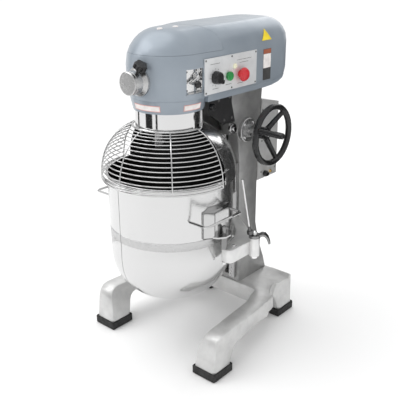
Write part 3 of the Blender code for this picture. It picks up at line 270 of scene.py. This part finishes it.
def panel_sheet():
    """Satin printed sheet of the control plate, left blank."""
    sheet = Recipe("panel_sheet", (0.60, 0.61, 0.62), 0.35, 0.36)
    sheet.colours(sheet.noise(25.0, 3.0), (0.78, 0.79, 0.80), (0.86, 0.87, 0.88))
    sheet.rough(sheet.noise(200.0, 3.0, (1.0, 8.0, 1.0)), 0.30, 0.42)
    sheet.bump(sheet.noise(300.0, 2.0, (1.0, 12.0, 1.0)), 0.00005, 0.3)
    return sheet.material


MATERIALS = {
    "head_paint": enamel(),
    "cast_paint": silver_paint("base_silver", (0.60, 0.60, 0.595), (0.68, 0.68, 0.675)),
    "yoke_paint": silver_paint("yoke_silver", (0.74, 0.74, 0.74), (0.82, 0.82, 0.81), 0.36),
    "polished_steel": polished("mirror_steel"),
    "machined_steel": machined("machined_steel_look"),
    "chrome": polished("chrome_look", 0.06, 0.0003, 0.72),
    "brass": machined("brass_look", (0.70, 0.50, 0.22), 0.28),
    "panel": panel_sheet(),
    "black_paint": moulded("black_enamel", (0.016, 0.016, 0.017), 0.36, 300.0),
    "black_plastic": moulded("black_phenolic", (0.008, 0.008, 0.009), 0.24, 500.0, 0.00006),
    "rubber": moulded("foot_rubber", (0.014, 0.014, 0.014), 0.70, 260.0, 0.0003),
    "green_plastic": moulded("green_button", (0.02, 0.26, 0.06), 0.30),
    "red_plastic": moulded("red_button", (0.55, 0.02, 0.03), 0.30),
    "lamp_lens": moulded("lamp_lens_look", (0.85, 0.80, 0.60), 0.20),
}
# Painted shade: the column takes a darker copy of the base's silver paint, for its side turned from the
# light.
COLUMN_SHADED_SILVER = silver_paint("column_silver_painted_shade", (0.30, 0.30, 0.30), (0.37, 0.37, 0.365), 0.40)
# Painted shade: the bowl's and guard's linings and the carrier under the head are steel painted near black,
# for the shade inside them; the roughness is the brushed finish.
SHADED_INSIDE = machined("brushed_inside_painted_shade", (0.10, 0.10, 0.10), 0.45)
BOWL_STEEL = polished("bowl_steel", 0.15, 0.0006, 0.68)
BRUSHED_BAND = polished("brushed_band", 0.28, 0.0004, 0.56)
WIRE_STEEL = polished("wire_steel", 0.16, 0.0, 0.64)
LABEL_WHITE = moulded("label_white", (0.78, 0.74, 0.72), 0.45)
LABEL_PINK = moulded("label_pink", (0.70, 0.36, 0.33), 0.45)
LABEL_YELLOW = moulded("label_yellow", (0.85, 0.62, 0.02), 0.45)
LABEL_DARK = moulded("label_dark", (0.05, 0.05, 0.05), 0.45)
LABEL_BROWN = moulded("label_brown", (0.35, 0.10, 0.05), 0.45)
SCREW_DARK = machined("dark_screw", (0.16, 0.16, 0.16), 0.35)
# Painted reflection: chrome painted dark, for the dark surroundings that the clamp levers and bowl pins
# mirror.
CHROME_PAINTED_DARK_REFLECTION = polished("chrome_painted_dark_reflection", 0.14, 0.0003, 0.26)
EAR_STEEL = polished("ear_steel", 0.14, 0.0012, 0.58)
# Painted light: a brighter copy of the polished stainless, for the lit guard back and for the clamp pivots
# that mirror the white floor.
SHELL_STEEL_PAINTED_LIGHT = polished("shell_steel_painted_light", 0.15, 0.0016, 0.86)
OWN_LOOKS = {
    "column_casting": COLUMN_SHADED_SILVER,
    "planetary_carrier": SHADED_INSIDE,
    "clamp_lever_right": CHROME_PAINTED_DARK_REFLECTION,
    "clamp_lever_left": CHROME_PAINTED_DARK_REFLECTION,
    "bowl_pin_right": CHROME_PAINTED_DARK_REFLECTION,
    "bowl_pin_left": CHROME_PAINTED_DARK_REFLECTION,
    "clamp_pivot_right": SHELL_STEEL_PAINTED_LIGHT,
    "clamp_pivot_left": SHELL_STEEL_PAINTED_LIGHT,
    "bowl_ear_right": EAR_STEEL,
    "bowl_ear_left": EAR_STEEL,
}
SMOOTH_UNDER_DEG = 32.0
WELD_DISTANCE = 0.000002


def smoothing_group():
    """Geometry nodes that weld a node's split corners and shade it smooth below the sharp angle."""
    group = bpy.data.node_groups.new("smooth_under_angle", "GeometryNodeTree")
    group.interface.new_socket("Geometry", in_out="INPUT", socket_type="NodeSocketGeometry")
    group.interface.new_socket("Geometry", in_out="OUTPUT", socket_type="NodeSocketGeometry")
    start = group.nodes.new("NodeGroupInput")
    end = group.nodes.new("NodeGroupOutput")
    weld = group.nodes.new("GeometryNodeMergeByDistance")
    weld.inputs["Distance"].default_value = WELD_DISTANCE
    forget = group.nodes.new("GeometryNodeRemoveAttribute")
    forget.inputs["Name"].default_value = "custom_normal"
    faces = group.nodes.new("GeometryNodeSetShadeSmooth")
    edges = group.nodes.new("GeometryNodeSetShadeSmooth")
    edges.domain = "EDGE"
    edges.inputs["Shade Smooth"].default_value = False
    angle = group.nodes.new("GeometryNodeInputMeshEdgeAngle")
    sharp = group.nodes.new("ShaderNodeMath")
    sharp.operation = "GREATER_THAN"
    sharp.inputs[1].default_value = math.radians(SMOOTH_UNDER_DEG)
    group.links.new(start.outputs[0], weld.inputs["Geometry"])
    group.links.new(weld.outputs["Geometry"], forget.inputs["Geometry"])
    group.links.new(forget.outputs["Geometry"], faces.inputs["Geometry"])
    group.links.new(faces.outputs["Geometry"], edges.inputs["Geometry"])
    group.links.new(angle.outputs["Unsigned Angle"], sharp.inputs[0])
    group.links.new(sharp.outputs[0], edges.inputs["Selection"])
    group.links.new(edges.outputs["Geometry"], end.inputs[0])
    return group


def dress_frame():
    """Every CAD node gets the look of its material slot, and smooth shading over its round faces."""
    smoothing = smoothing_group()
    for subpart in frame["record"]["subparts"]:
        obj = frame["nodes"][subpart["node"]]
        look = OWN_LOOKS.get(subpart["node"], MATERIALS[subpart["material_slot"]])
        if not obj.material_slots:
            obj.data.materials.append(look)
        for slot in obj.material_slots:
            slot.material = look
        obj.modifiers.new("smooth_shading", "NODES").node_group = smoothing


# ---- shapes of the extra pieces -----------------------------------------------------------
def piece(name, bm, look, body, smooth=40.0, replaced=()):
    """A looks piece from a bmesh in layout coordinates, riding on a body."""
    mesh = bpy.data.meshes.new(name)
    bm.to_mesh(mesh)
    bm.free()
    mesh.transform(Matrix.Translation(LAYOUT_SHIFT))
    obj = bpy.data.objects.new(name, mesh)
    bpy.context.scene.collection.objects.link(obj)
    for material in look if isinstance(look, list) else [look]:
        mesh.materials.append(material)
    if smooth:
        mesh.shade_smooth()
        mesh.set_sharp_from_angle(angle=math.radians(smooth))
    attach(obj, body)
    if replaced:
        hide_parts(*replaced)
    return obj


def merged(*shapes):
    total = bmesh.new()
    for bm in shapes:
        mesh = bpy.data.meshes.new("shape")
        bm.to_mesh(mesh)
        bm.free()
        total.from_mesh(mesh)
        bpy.data.meshes.remove(mesh)
    return total


def rod(start, end, radius, end_radius=None, segments=24):
    start = Vector(start)
    end = Vector(end)
    turn = (end - start).to_track_quat("Z", "Y").to_matrix().to_4x4()
    bm = bmesh.new()
    bmesh.ops.create_cone(
        bm, cap_ends=True, segments=segments, radius1=radius,
        radius2=radius if end_radius is None else end_radius,
        depth=(end - start).length, matrix=Matrix.Translation((start + end) / 2) @ turn,
    )
    return bm


def box(low, high, ease=0.0):
    bm = bmesh.new()
    bmesh.ops.create_cube(bm, size=1.0)
    low = Vector(low)
    high = Vector(high)
    bmesh.ops.scale(bm, vec=high - low, verts=bm.verts)
    bmesh.ops.translate(bm, vec=(low + high) / 2, verts=bm.verts)
    if ease:
        bmesh.ops.bevel(bm, geom=bm.edges[:], offset=ease, segments=2, profile=0.5, affect="EDGES")
    return bm


def lathe(profile, start_deg=0.0, end_deg=360.0, steps=128, closed=False):
    """A (radius, z) profile turned about the bowl's axis, as a surface."""
    bm = bmesh.new()
    full = abs(end_deg - start_deg) >= 360.0
    count = steps if full else steps + 1
    rows = []
    for step in range(count):
        angle = math.radians(start_deg + (end_deg - start_deg) * step / steps)
        rows.append([bm.verts.new((r * math.cos(angle), r * math.sin(angle), z)) for r, z in profile])
    pairs = list(zip(rows, rows[1:])) + ([(rows[-1], rows[0])] if full else [])
    last = len(profile) if closed else len(profile) - 1
    for one, two in pairs:
        for i in range(last):
            j = (i + 1) % len(profile)
            bm.faces.new((one[i], two[i], two[j], one[j]))
    if closed and not full:
        bm.faces.new(rows[0])
        bm.faces.new(rows[-1][::-1])
    bmesh.ops.remove_doubles(bm, verts=bm.verts, dist=0.000001)
    bmesh.ops.recalc_face_normals(bm, faces=bm.faces)
    return bm


def wire(points, radius, sides=10):
    """A round wire of constant section swept along the points."""
    bm = bmesh.new()
    points = [Vector(point) for point in points]
    rings = []
    normal = None
    for i, point in enumerate(points):
        ahead = points[min(i + 1, len(points) - 1)] - points[max(i - 1, 0)]
        ahead.normalize()
        if normal is None:
            normal = ahead.orthogonal().normalized()
        normal = (normal - ahead * normal.dot(ahead)).normalized()
        across = ahead.cross(normal)
        ring = []
        for k in range(sides):
            angle = math.tau * k / sides
            ring.append(bm.verts.new(point + (normal * math.cos(angle) + across * math.sin(angle)) * radius))
        rings.append(ring)
    for one, two in zip(rings, rings[1:]):
        for k in range(sides):
            m = (k + 1) % sides
            bm.faces.new((one[k], one[m], two[m], two[k]))
    bm.faces.new(rings[0][::-1])
    bm.faces.new(rings[-1])
    bmesh.ops.recalc_face_normals(bm, faces=bm.faces)
    return bm


def ring_arc(radius, z, start_deg=-180.0, end_deg=0.0, steps=72):
    points = []
    for step in range(steps + 1):
        angle = math.radians(start_deg + (end_deg - start_deg) * step / steps)
        points.append((radius * math.cos(angle), radius * math.sin(angle), z))
    return points


def screw_head(centre, normal, radius=0.0032, tall=0.0014):
    """A plain domed screw head on a surface, as a list of two shapes."""
    centre = Vector(centre)
    normal = Vector(normal).normalized()
    base = rod(centre, centre + normal * tall * 0.6, radius, radius * 0.95, 18)
    dome = rod(centre + normal * tall * 0.6, centre + normal * tall, radius * 0.95, radius * 0.6, 18)
    return [base, dome]


def hex_head(centre, normal, radius=0.0065, tall=0.0050, washer=0.0090):
    centre = Vector(centre)
    normal = Vector(normal).normalized()
    plate = rod(centre, centre + normal * 0.0012, washer, washer * 0.97, 24)
    head = rod(centre + normal * 0.0012, centre + normal * tall * 0.85, radius, radius, 6)
    crown = rod(centre + normal * tall * 0.85, centre + normal * tall, radius * 0.97, radius * 0.75, 12)
    return [plate, head, crown]


# ---- bowl ---------------------------------------------------------------------------------
def bowl_profile():
    """The bowl's outer side from under the rim bead to the middle of the bottom."""
    points = [
        (BOWL_RADIUS, BOWL_RIM_Z - 0.0100),
        (BOWL_RADIUS, BOWL_SEAM_Z + 0.0015),
        (BOWL_RADIUS - 0.0014, BOWL_SEAM_Z + 0.0005),
        (BOWL_RADIUS - 0.0014, BOWL_SEAM_Z - 0.0005),
        (BOWL_RADIUS - 0.0002, BOWL_SEAM_Z - 0.0015),
        (BOWL_RADIUS - 0.0002, BOWL_BAND_Z + 0.0010),
        (BOWL_RADIUS - 0.0011, BOWL_BAND_Z),
        (BOWL_RADIUS - 0.0010, BOWL_BEND_Z),
    ]
    drop = BOWL_BEND_Z - BOWL_BOTTOM_Z
    power = 2 / BOWL_FULLNESS
    for step in range(1, 36):
        angle = math.radians(90 * step / 36)
        radius = (BOWL_RADIUS - 0.0010) * math.cos(angle) ** power
        points.append((radius, BOWL_BEND_Z - drop * math.sin(angle) ** power))
    points.append((0.0, BOWL_BOTTOM_Z))
    return points


def make_bowl():
    """The bowl: outer skin with a brushed band, rim bead, and a lining painted dark as shade."""
    bead = [
        (BOWL_RADIUS - BOWL_WALL, BOWL_RIM_Z - 0.0015),
        (BOWL_RADIUS - 0.0005, BOWL_RIM_Z - 0.0003),
        (BOWL_RADIUS + 0.0020, BOWL_RIM_Z),
        (BOWL_RADIUS + 0.0043, BOWL_RIM_Z - 0.0010),
        (BOWL_RADIUS + 0.0054, BOWL_RIM_Z - 0.0033),
        (BOWL_RADIUS + 0.0050, BOWL_RIM_Z - 0.0062),
        (BOWL_RADIUS + 0.0030, BOWL_RIM_Z - 0.0082),
        (BOWL_RADIUS + 0.0008, BOWL_RIM_Z - 0.0086),
    ]
    outer = bead + bowl_profile()
    bottom_share = BOWL_BEND_Z - BOWL_BOTTOM_Z
    inner = []
    for radius, z in bowl_profile():
        share = max(0.0, (BOWL_BEND_Z - z) / bottom_share)
        inner.append((max(radius - BOWL_WALL * (1 - share), 0.0), z + BOWL_WALL * share))
    inner = [point for point in inner if point[1] < BOWL_SEAM_Z - 0.002 or point[1] > BOWL_SEAM_Z + 0.001]
    skin = lathe(outer, steps=160)
    for face in skin.faces:
        if BOWL_BAND_Z < face.calc_center_median().z < BOWL_SEAM_Z - 0.0010:
            face.material_index = 2
    lining = lathe([(BOWL_RADIUS - BOWL_WALL, BOWL_RIM_Z - 0.0015)] + inner, steps=160)
    for face in lining.faces:
        face.material_index = 1
    bmesh.ops.reverse_faces(lining, faces=lining.faces)
    piece("bowl_shell", merged(skin, lining), [BOWL_STEEL, SHADED_INSIDE, BRUSHED_BAND],
          "bowl_lift", 50.0, ["bowl"])


def guard_profile(share, out=0.0):
    """Radius and height of the guard's dome, share 0 at the collar to 1 at the bottom ring."""
    angle = math.radians(GUARD_START_DEG + (90.0 - GUARD_START_DEG) * share)
    first = math.sin(math.radians(GUARD_START_DEG))
    wide = (GUARD_BOTTOM_RADIUS - GUARD_TOP_RADIUS) / (1 - first)
    tall = (GUARD_TOP_Z - GUARD_BOTTOM_Z) / math.cos(math.radians(GUARD_START_DEG))
    square = Vector((tall * math.sin(angle), wide * math.cos(angle))).normalized() * out
    radius = GUARD_TOP_RADIUS + wide * (math.sin(angle) - first)
    height = GUARD_BOTTOM_Z + tall * math.cos(angle)
    return radius + square.x, height + square.y


def make_guard_shell():
    """The rear half of the guard: outer skin painted bright as light, lining painted dark as shade, and two
    straps up the collar.
    """
    outer = [guard_profile(step / 28) for step in range(29)]
    outer.append((GUARD_BOTTOM_RADIUS, GUARD_BOTTOM_Z - 0.0080))
    inner = [guard_profile(step / 28, -0.0018) for step in range(29)]
    inner.append((GUARD_BOTTOM_RADIUS - 0.0018, GUARD_BOTTOM_Z - 0.0080))
    skin = lathe(outer + inner[::-1], SHELL_START_DEG, 180.0 - SHELL_START_DEG, 90, closed=True)
    for face in skin.faces:
        centre = face.calc_center_median()
        inward = Vector((-centre.x, -centre.y, GUARD_BOTTOM_Z - centre.z))
        if face.normal.dot(inward) > 0.0:
            face.material_index = 1
    pieces = [skin]
    for angle in STRAP_DEG:
        strap = box((COLLAR_RADIUS + 0.0003, -0.0060, GUARD_TOP_Z - 0.0060),
                    (COLLAR_RADIUS + 0.0037, 0.0060, COLLAR_TOP_Z - 0.0010), 0.0008)
        bmesh.ops.transform(strap, matrix=Matrix.Rotation(math.radians(angle), 4, "Z"), verts=strap.verts)
        pieces.append(strap)
    piece("guard_back", merged(*pieces), [SHELL_STEEL_PAINTED_LIGHT, SHADED_INSIDE],
          "frame", 40.0, ["guard_shell"])


def make_cage():
    """The swinging front of the guard: hoops, five ribs, a double bottom ring and a top ring."""
    wires = []
    for number in range(CAGE_WIRES):
        radius, z = guard_profile((number + 0.6) / CAGE_WIRES, CAGE_OFFSET)
        wires.append(wire(ring_arc(radius, z), 0.0018, 8))
    for rib in range(5):
        angle = math.radians(-180 + 45 * rib)
        points = []
        for step in range(25):
            radius, z = guard_profile(0.04 + 0.96 * step / 24, CAGE_OFFSET + 0.0012)
            points.append((radius * math.cos(angle), radius * math.sin(angle), z))
        wires.append(wire(points, 0.0021, 8))
    bottom = GUARD_BOTTOM_RADIUS + CAGE_OFFSET + 0.001
    for drop in (0.0, 0.0085):
        wires.append(wire(ring_arc(bottom, GUARD_BOTTOM_Z + 0.001 - drop), 0.0030, 12))
    top = GUARD_TOP_RADIUS + CAGE_OFFSET + 0.0005
    wires.append(wire(ring_arc(top, GUARD_TOP_Z + 0.0040), 0.0028, 12))
    for side in (-1, 1):
        x = side * bottom
        foot = rod((x, 0, GUARD_BOTTOM_Z + 0.003), (x, 0, GUARD_BOTTOM_Z - 0.0095), 0.0030, segments=12)
        wires.append(foot)
    piece("guard_wires", merged(*wires), WIRE_STEEL,
          "guard_cage_body", 60.0, ["guard_cage"])


def make_collar():
    """The rolled collar, with a shallow groove above its lower lip."""
    low = GUARD_TOP_Z
    profile = [
        (COLLAR_RADIUS - 0.002, COLLAR_TOP_Z), (COLLAR_RADIUS, COLLAR_TOP_Z), (COLLAR_RADIUS, low + 0.0050),
        (COLLAR_RADIUS - 0.0004, low + 0.0044), (COLLAR_RADIUS, low + 0.0038), (COLLAR_RADIUS, low + 0.0006),
        (COLLAR_RADIUS - 0.0006, low), (COLLAR_RADIUS - 0.002, low),
    ]
    piece("collar_sheet", lathe(profile, steps=128, closed=True), MATERIALS["polished_steel"],
          "frame", 30.0, ["guard_collar"])


def make_bowl_weld():
    """The weld of the rolled bowl wall: a thin dark line, 0.2 mm proud, down one side."""
    profile = []
    for radius, z in bowl_profile():
        if z > WELD_BOTTOM_Z:
            profile.append((radius + 0.0002, z))
    seam = lathe(profile, WELD_DEG - WELD_HALF_DEG, WELD_DEG + WELD_HALF_DEG, 2)
    piece("bowl_weld", seam, SCREW_DARK, "bowl_lift", 60.0)


# ---- head ---------------------------------------------------------------------------------
def nose_ring_radius(z):
    """The nose ring's radius at this height."""
    low, middle, high = NOSE_RING
    below, above = (low, middle) if z < middle[0] else (middle, high)
    share = (z - below[0]) / (above[0] - below[0])
    return below[1] + (above[1] - below[1]) * share


def make_ring_labels():
    """Two blank stickers on the nose ring: a white field inside a pale red edge."""
    bend_z, bend_radius = NOSE_RING[1]
    layers = (("edge", LABEL_PINK, 0.0, 0.0003), ("field", LABEL_WHITE, 0.0022, 0.0005))
    for number, (start, end) in enumerate(RING_LABELS_DEG):
        for word, look, margin, proud in layers:
            low = RING_LABEL_Z[0] + margin
            high = RING_LABEL_Z[1] - margin
            turn = math.degrees(margin / bend_radius)
            profile = [(nose_ring_radius(z) + proud, z) for z in (high, bend_z, low)]
            patch = lathe(profile, start + turn, end - turn, 16)
            piece(f"ring_label_{number}_{word}", patch, look, "frame", 60.0)


def shoulder_x(z):
    """The head's side at this height: upright, then rolled over to the top."""
    if z <= SHOULDER_Z:
        return HEAD_HALF_WIDTH
    share = min(1.0, (z - SHOULDER_Z) / SHOULDER_TALL)
    return HEAD_HALF_WIDTH - SHOULDER_IN * (1 - math.sqrt(1 - share * share))


def side_patch(rows, proud):
    """A thin sticker on the +X side through rows of (z, low y, high y)."""
    bm = bmesh.new()
    made = []
    for z, low_y, high_y in rows:
        x = shoulder_x(z) + proud
        made.append((bm.verts.new((x, low_y, z)), bm.verts.new((x, high_y, z))))
    for (a, b), (c, d) in zip(made, made[1:]):
        bm.faces.new((a, b, d, c))
    bmesh.ops.recalc_face_normals(bm, faces=bm.faces)
    return bm


def make_side_labels():
    """The blank labels on the head's right side: a yellow triangle, and a tall one of three colours."""
    middle_y, foot_z, tall, half_width = TRIANGLE_LABEL
    triangle = []
    for step in range(9):
        share = step / 8
        half = half_width * (1 - share) + 0.0006
        triangle.append((foot_z + tall * share, middle_y - half, middle_y + half))
    piece("triangle_label", side_patch(triangle, 0.0008), LABEL_YELLOW, "frame", 60.0)
    bands = (
        (0.8765, 0.9135, LABEL_DARK),
        (0.9145, 0.9595, LABEL_WHITE),
        (0.9605, 0.9745, LABEL_BROWN),
    )
    low_y, high_y = SIDE_LABEL_Y
    backing = side_patch([(z, low_y, high_y) for z in SIDE_LABEL_Z], 0.0003)
    piece("side_label_backing", backing, LABEL_DARK, "frame", None)
    for number, (low, high, look) in enumerate(bands):
        patch = side_patch([(z, low_y + 0.001, high_y - 0.001) for z in (low, high)], 0.0005)
        piece(f"side_label_{number}", patch, look, "frame", None)


def make_plugs():
    """Two small cap plugs in the top of the nose."""
    for number, (x, y, z) in enumerate(TOP_PLUGS):
        cap = rod((x, y, z - 0.004), (x, y, z + 0.0016), 0.0088, 0.0084, 24)
        crown = rod((x, y, z + 0.0016), (x, y, z + 0.0026), 0.0084, 0.0060, 24)
        piece(f"top_plug_{number}", merged(cap, crown), LABEL_WHITE, "frame", 40.0)


def make_panel_marks():
    """Six screws, an unnumbered dial scale and thin rules on the blank plate."""
    low_y, high_y = PANEL_Y
    low_z, high_z = PANEL_Z
    middle = (low_y + high_y) / 2
    inset = PANEL_SCREW_INSET
    spots = [(y, z) for y in (low_y + inset, middle, high_y - inset) for z in (low_z + inset, high_z - inset)]
    heads = []
    for y, z in spots:
        heads += screw_head((PANEL_FACE_X, y, z), (1, 0, 0), 0.0030)
    piece("panel_screws", merged(*heads), SCREW_DARK, "frame")
    marks = []
    for step in range(10):
        angle = math.radians(60 + 30 * step)
        out = Vector((0, math.cos(angle), math.sin(angle)))
        centre = Vector((PANEL_FACE_X, *SELECTOR))
        marks.append(rod(centre + out * 0.0235, centre + out * 0.0275, 0.00045, segments=6))
    for y0, y1, z in PANEL_RULES:
        marks.append(box((PANEL_FACE_X - 0.0002, y0, z), (PANEL_FACE_X + 0.0002, y1, z + 0.0011)))
    piece("panel_rules", merged(*marks), LABEL_DARK, "frame", None)


def make_shift_pocket():
    """The speed-change recess: its four sheet walls, the lever's disc and hub, and four screws."""
    y0, y1 = SHIFT_WINDOW_Y
    z0, z1 = SHIFT_WINDOW_Z
    back = SHIFT_BACK_X + 0.0002
    walls = [
        box((back, y0 + 0.001, z1 + 0.0003), (0.1172, y1, z1 + 0.0012)),
        box((back, y0 + 0.001, z0 - 0.0012), (0.1155, y1, z0 - 0.0003)),
        box((back, y1 + 0.0003, z0), (0.1200, y1 + 0.0012, z1)),
        box((back, y0 - 0.0012, z0), (0.1105, y0 - 0.0003, z1)),
    ]
    piece("shift_pocket", merged(*walls), MATERIALS["chrome"], "frame", None)
    y, z = SHIFT_AXIS
    disc = rod((SHIFT_BACK_X, y, z), (0.1100, y, z), 0.0150, 0.0140, 32)
    hub = rod((0.1100, y, z), (0.1118, y, z), 0.0105, 0.0100, 32)
    piece("shift_disc", merged(disc, hub), MATERIALS["chrome"], "frame")
    heads = []
    for dy, dz in SHIFT_SCREWS:
        heads += screw_head((SHIFT_BACK_X, y + dy, z + dz), (1, 0, 0), 0.0030)
    piece("shift_screws", merged(*heads), SCREW_DARK, "frame")


# ---- column, lift and guard fittings ------------------------------------------------------
def make_column_fittings():
    """Flange bolts, the boss beside the flange, neck and box screws, the earth stud and the wheel's nut."""
    side = COLUMN_HALF_WIDTH + 0.0003
    y, z = WHEEL_CENTRE
    bolts = []
    for degrees in (45, 135, 225, 315):
        angle = math.radians(degrees)
        bolt_y = y + FLANGE_BOLT_CIRCLE * math.cos(angle)
        bolt_z = z + FLANGE_BOLT_CIRCLE * math.sin(angle)
        bolts += hex_head((side + 0.0122, bolt_y, bolt_z), (1, 0, 0), 0.0050, 0.0050, 0.0064)
    piece("flange_bolts", merged(*bolts), MATERIALS["chrome"], "frame")
    boss = [
        rod((side, *BOSS_CENTRE), (side + 0.0060, *BOSS_CENTRE), 0.0185, 0.0180, 40),
        rod((side + 0.0060, *BOSS_CENTRE), (side + 0.0100, *BOSS_CENTRE), 0.0150, 0.0140, 40),
        rod((side + 0.0100, *BOSS_CENTRE), (side + 0.0130, *BOSS_CENTRE), 0.0070, 0.0060, 6),
    ]
    piece("column_boss", merged(*boss), MATERIALS["chrome"], "frame")
    for word, sign in (("right", 1), ("left", -1)):
        heads = []
        face = sign * (COLUMN_HALF_WIDTH + 0.0024)
        for spot in NECK_SCREWS:
            heads += screw_head((face, *spot), (sign, 0, 0), 0.0048, 0.0026)
        piece(f"neck_screws_{word}", merged(*heads), SCREW_DARK, "frame")
    stud = hex_head((BOX_FACE_X, *EARTH_STUD), (1, 0, 0), 0.0042, 0.0060, 0.0062)
    piece("earth_stud", merged(*stud), MATERIALS["brass"], "frame")
    cover = []
    for spot in BOX_SCREWS:
        for sign in (1, -1):
            cover += screw_head((sign * BOX_FACE_X, *spot), (sign, 0, 0), 0.0030, 0.0016)
    piece("box_screws", merged(*cover), SCREW_DARK, "frame")
    nut = hex_head((WHEEL_NUT_X, y, z), (1, 0, 0), 0.0095, 0.0085, 0.0125)
    piece("wheel_nut", merged(*nut), MATERIALS["chrome"], "handwheel_body")


def make_yoke_fittings():
    """Bolts on the yoke's arms, nuts under the bowl pins, and the right lever's foot nut and ferrule."""
    bolts = []
    bolt_x, bolt_y, bolt_z = ARM_BOLT
    foot_z, top_z = PIN_NUT_Z
    for side in (-1, 1):
        bolts += hex_head((side * bolt_x, bolt_y, bolt_z), (0, 0, 1), 0.0058, 0.0055, 0.0080)
        bolts.append(rod((side * PIN_NUT_X, 0.0, foot_z), (side * PIN_NUT_X, 0.0, top_z), 0.0066, segments=6))
    piece("arm_bolts", merged(*bolts), MATERIALS["chrome"], "bowl_lift")
    along = (LEVER_TOP - LEVER_FOOT).normalized()
    nut = rod(LEVER_FOOT + along * 0.0030, LEVER_FOOT + along * 0.0150, 0.0100, segments=6)
    ferrule = rod(LEVER_FOOT + along * 0.0150, LEVER_FOOT + along * 0.0300, 0.0062, 0.0040, 24)
    piece("bar_nut", merged(nut, ferrule), SCREW_DARK, "clamp_right")


def make_ear_edges():
    """The dark fillets along the edges of the two welded ear plates."""
    for word, side in (("right", 1), ("left", -1)):
        beads = []
        for z in EAR_Z:
            points = [(side * x, y, z) for x, y in EAR_OUTLINE]
            beads.append(wire(points, 0.0012, 8))
        for x, y in EAR_OUTLINE:
            beads.append(rod((side * x, y, EAR_Z[0]), (side * x, y, EAR_Z[1]), 0.0012, segments=8))
        piece(f"ear_edges_{word}", merged(*beads), SCREW_DARK, "bowl_lift", 60.0)


def make_cage_hooks():
    """Two short wires that reach from the cage's end rib over the shell's edge."""
    hooks = []
    for share in HOOK_SHARES:
        points = []
        for step in range(13):
            angle = math.radians(-1.0 + HOOK_REACH_DEG * step / 12)
            radius, z = guard_profile(share, CAGE_OFFSET + 0.0010 - 0.0022 * (step / 12) ** 2)
            points.append((radius * math.cos(angle), radius * math.sin(angle), z))
        hooks.append(wire(points, 0.0018, 8))
    piece("cage_hooks", merged(*hooks), WIRE_STEEL, "guard_cage_body", 60.0)


# ---- floor, light, camera -----------------------------------------------------------------
def make_flags():
    """Dark studio flags that only mirror-like surfaces see: they give polished steel its dark bands."""
    material = bpy.data.materials.new("flag_cloth")
    material.use_nodes = True
    shader = material.node_tree.nodes["Principled BSDF"]
    shader.inputs["Base Color"].default_value = (0.02, 0.02, 0.02, 1.0)
    shader.inputs["Roughness"].default_value = 0.9
    for number, (bearing, distance, width, low, high) in enumerate(FLAGS):
        angle = math.radians(CAMERA_AZIMUTH - 90.0 + bearing)
        out = Vector((math.cos(angle), math.sin(angle), 0.0))
        across = Vector((-out.y, out.x, 0.0))
        bm = bmesh.new()
        corners = [out * distance + across * (side * width / 2) + Vector((0, 0, z))
                   for side, z in ((-1, low), (1, low), (1, high), (-1, high))]
        bm.faces.new([bm.verts.new(corner) for corner in corners])
        mesh = bpy.data.meshes.new(f"flag_{number}")
        bm.to_mesh(mesh)
        bm.free()
        mesh.materials.append(material)
        flag = bpy.data.objects.new(mesh.name, mesh)
        bpy.context.scene.collection.objects.link(flag)
        flag.visible_camera = False
        flag.visible_diffuse = False
        flag.visible_shadow = False


def make_stage():
    """Floor, even sky, a wide soft sun and two soft boxes."""
    bm = bmesh.new()
    bmesh.ops.create_grid(bm, x_segments=1, y_segments=1, size=30.0)
    mesh = bpy.data.meshes.new("floor")
    bm.to_mesh(mesh)
    bm.free()
    floor = bpy.data.objects.new("floor", mesh)
    bpy.context.scene.collection.objects.link(floor)
    paper = Recipe("floor_paper", (0.93, 0.93, 0.93), 0.0, 0.8)
    paper.rough(paper.noise(3.0, 2.0), 0.75, 0.85)
    mesh.materials.append(paper.material)

    bpy.context.scene.view_settings.view_transform = "Standard"
    world = bpy.data.worlds.new("studio")
    bpy.context.scene.world = world
    world.use_nodes = True
    sky = world.node_tree.nodes["Background"]
    sky.inputs["Color"].default_value = (1.0, 1.0, 1.0, 1.0)
    sky.inputs["Strength"].default_value = SKY_STRENGTH
    sun = bpy.data.lights.new("soft_sun", "SUN")
    sun.energy = SUN_STRENGTH
    sun.angle = math.radians(SUN_SPREAD_DEG)
    overhead = bpy.data.objects.new("soft_sun", sun)
    bpy.context.scene.collection.objects.link(overhead)
    overhead.rotation_euler = (-Vector(SUN_FROM)).to_track_quat("-Z", "Y").to_euler()
    for name, spot, size, power in SOFT_BOXES:
        lamp = bpy.data.lights.new(name, "AREA")
        lamp.energy = power
        lamp.size = size
        light = bpy.data.objects.new(name, lamp)
        bpy.context.scene.collection.objects.link(light)
        light.location = spot
        light.rotation_euler = (Vector((0.0, 0.0, 0.6)) - light.location).to_track_quat("-Z", "Y").to_euler()


def make_camera():
    camera = bpy.data.cameras.new("camera")
    camera.sensor_fit = "HORIZONTAL"
    camera.angle = math.radians(CAMERA_VIEW)
    camera.clip_start = 0.05
    holder = bpy.data.objects.new("camera", camera)
    bpy.context.scene.collection.objects.link(holder)
    turn = Matrix.Rotation(math.radians(CAMERA_AZIMUTH), 4, "Z")
    tip = Matrix.Rotation(math.radians(90.0 - CAMERA_PITCH), 4, "X")
    roll = Matrix.Rotation(math.radians(CAMERA_ROLL), 4, "Z")
    holder.matrix_world = Matrix.Translation(CAMERA_PLACE) @ turn @ tip @ roll
    bpy.context.scene.camera = holder


make_camera()
make_stage()
make_flags()
dress_frame()
make_bowl()
make_guard_shell()
make_cage()
make_collar()
make_bowl_weld()
make_ring_labels()
make_side_labels()
make_plugs()
make_panel_marks()
make_shift_pocket()
make_column_fittings()
make_yoke_fittings()
make_ear_edges()
make_cage_hooks()
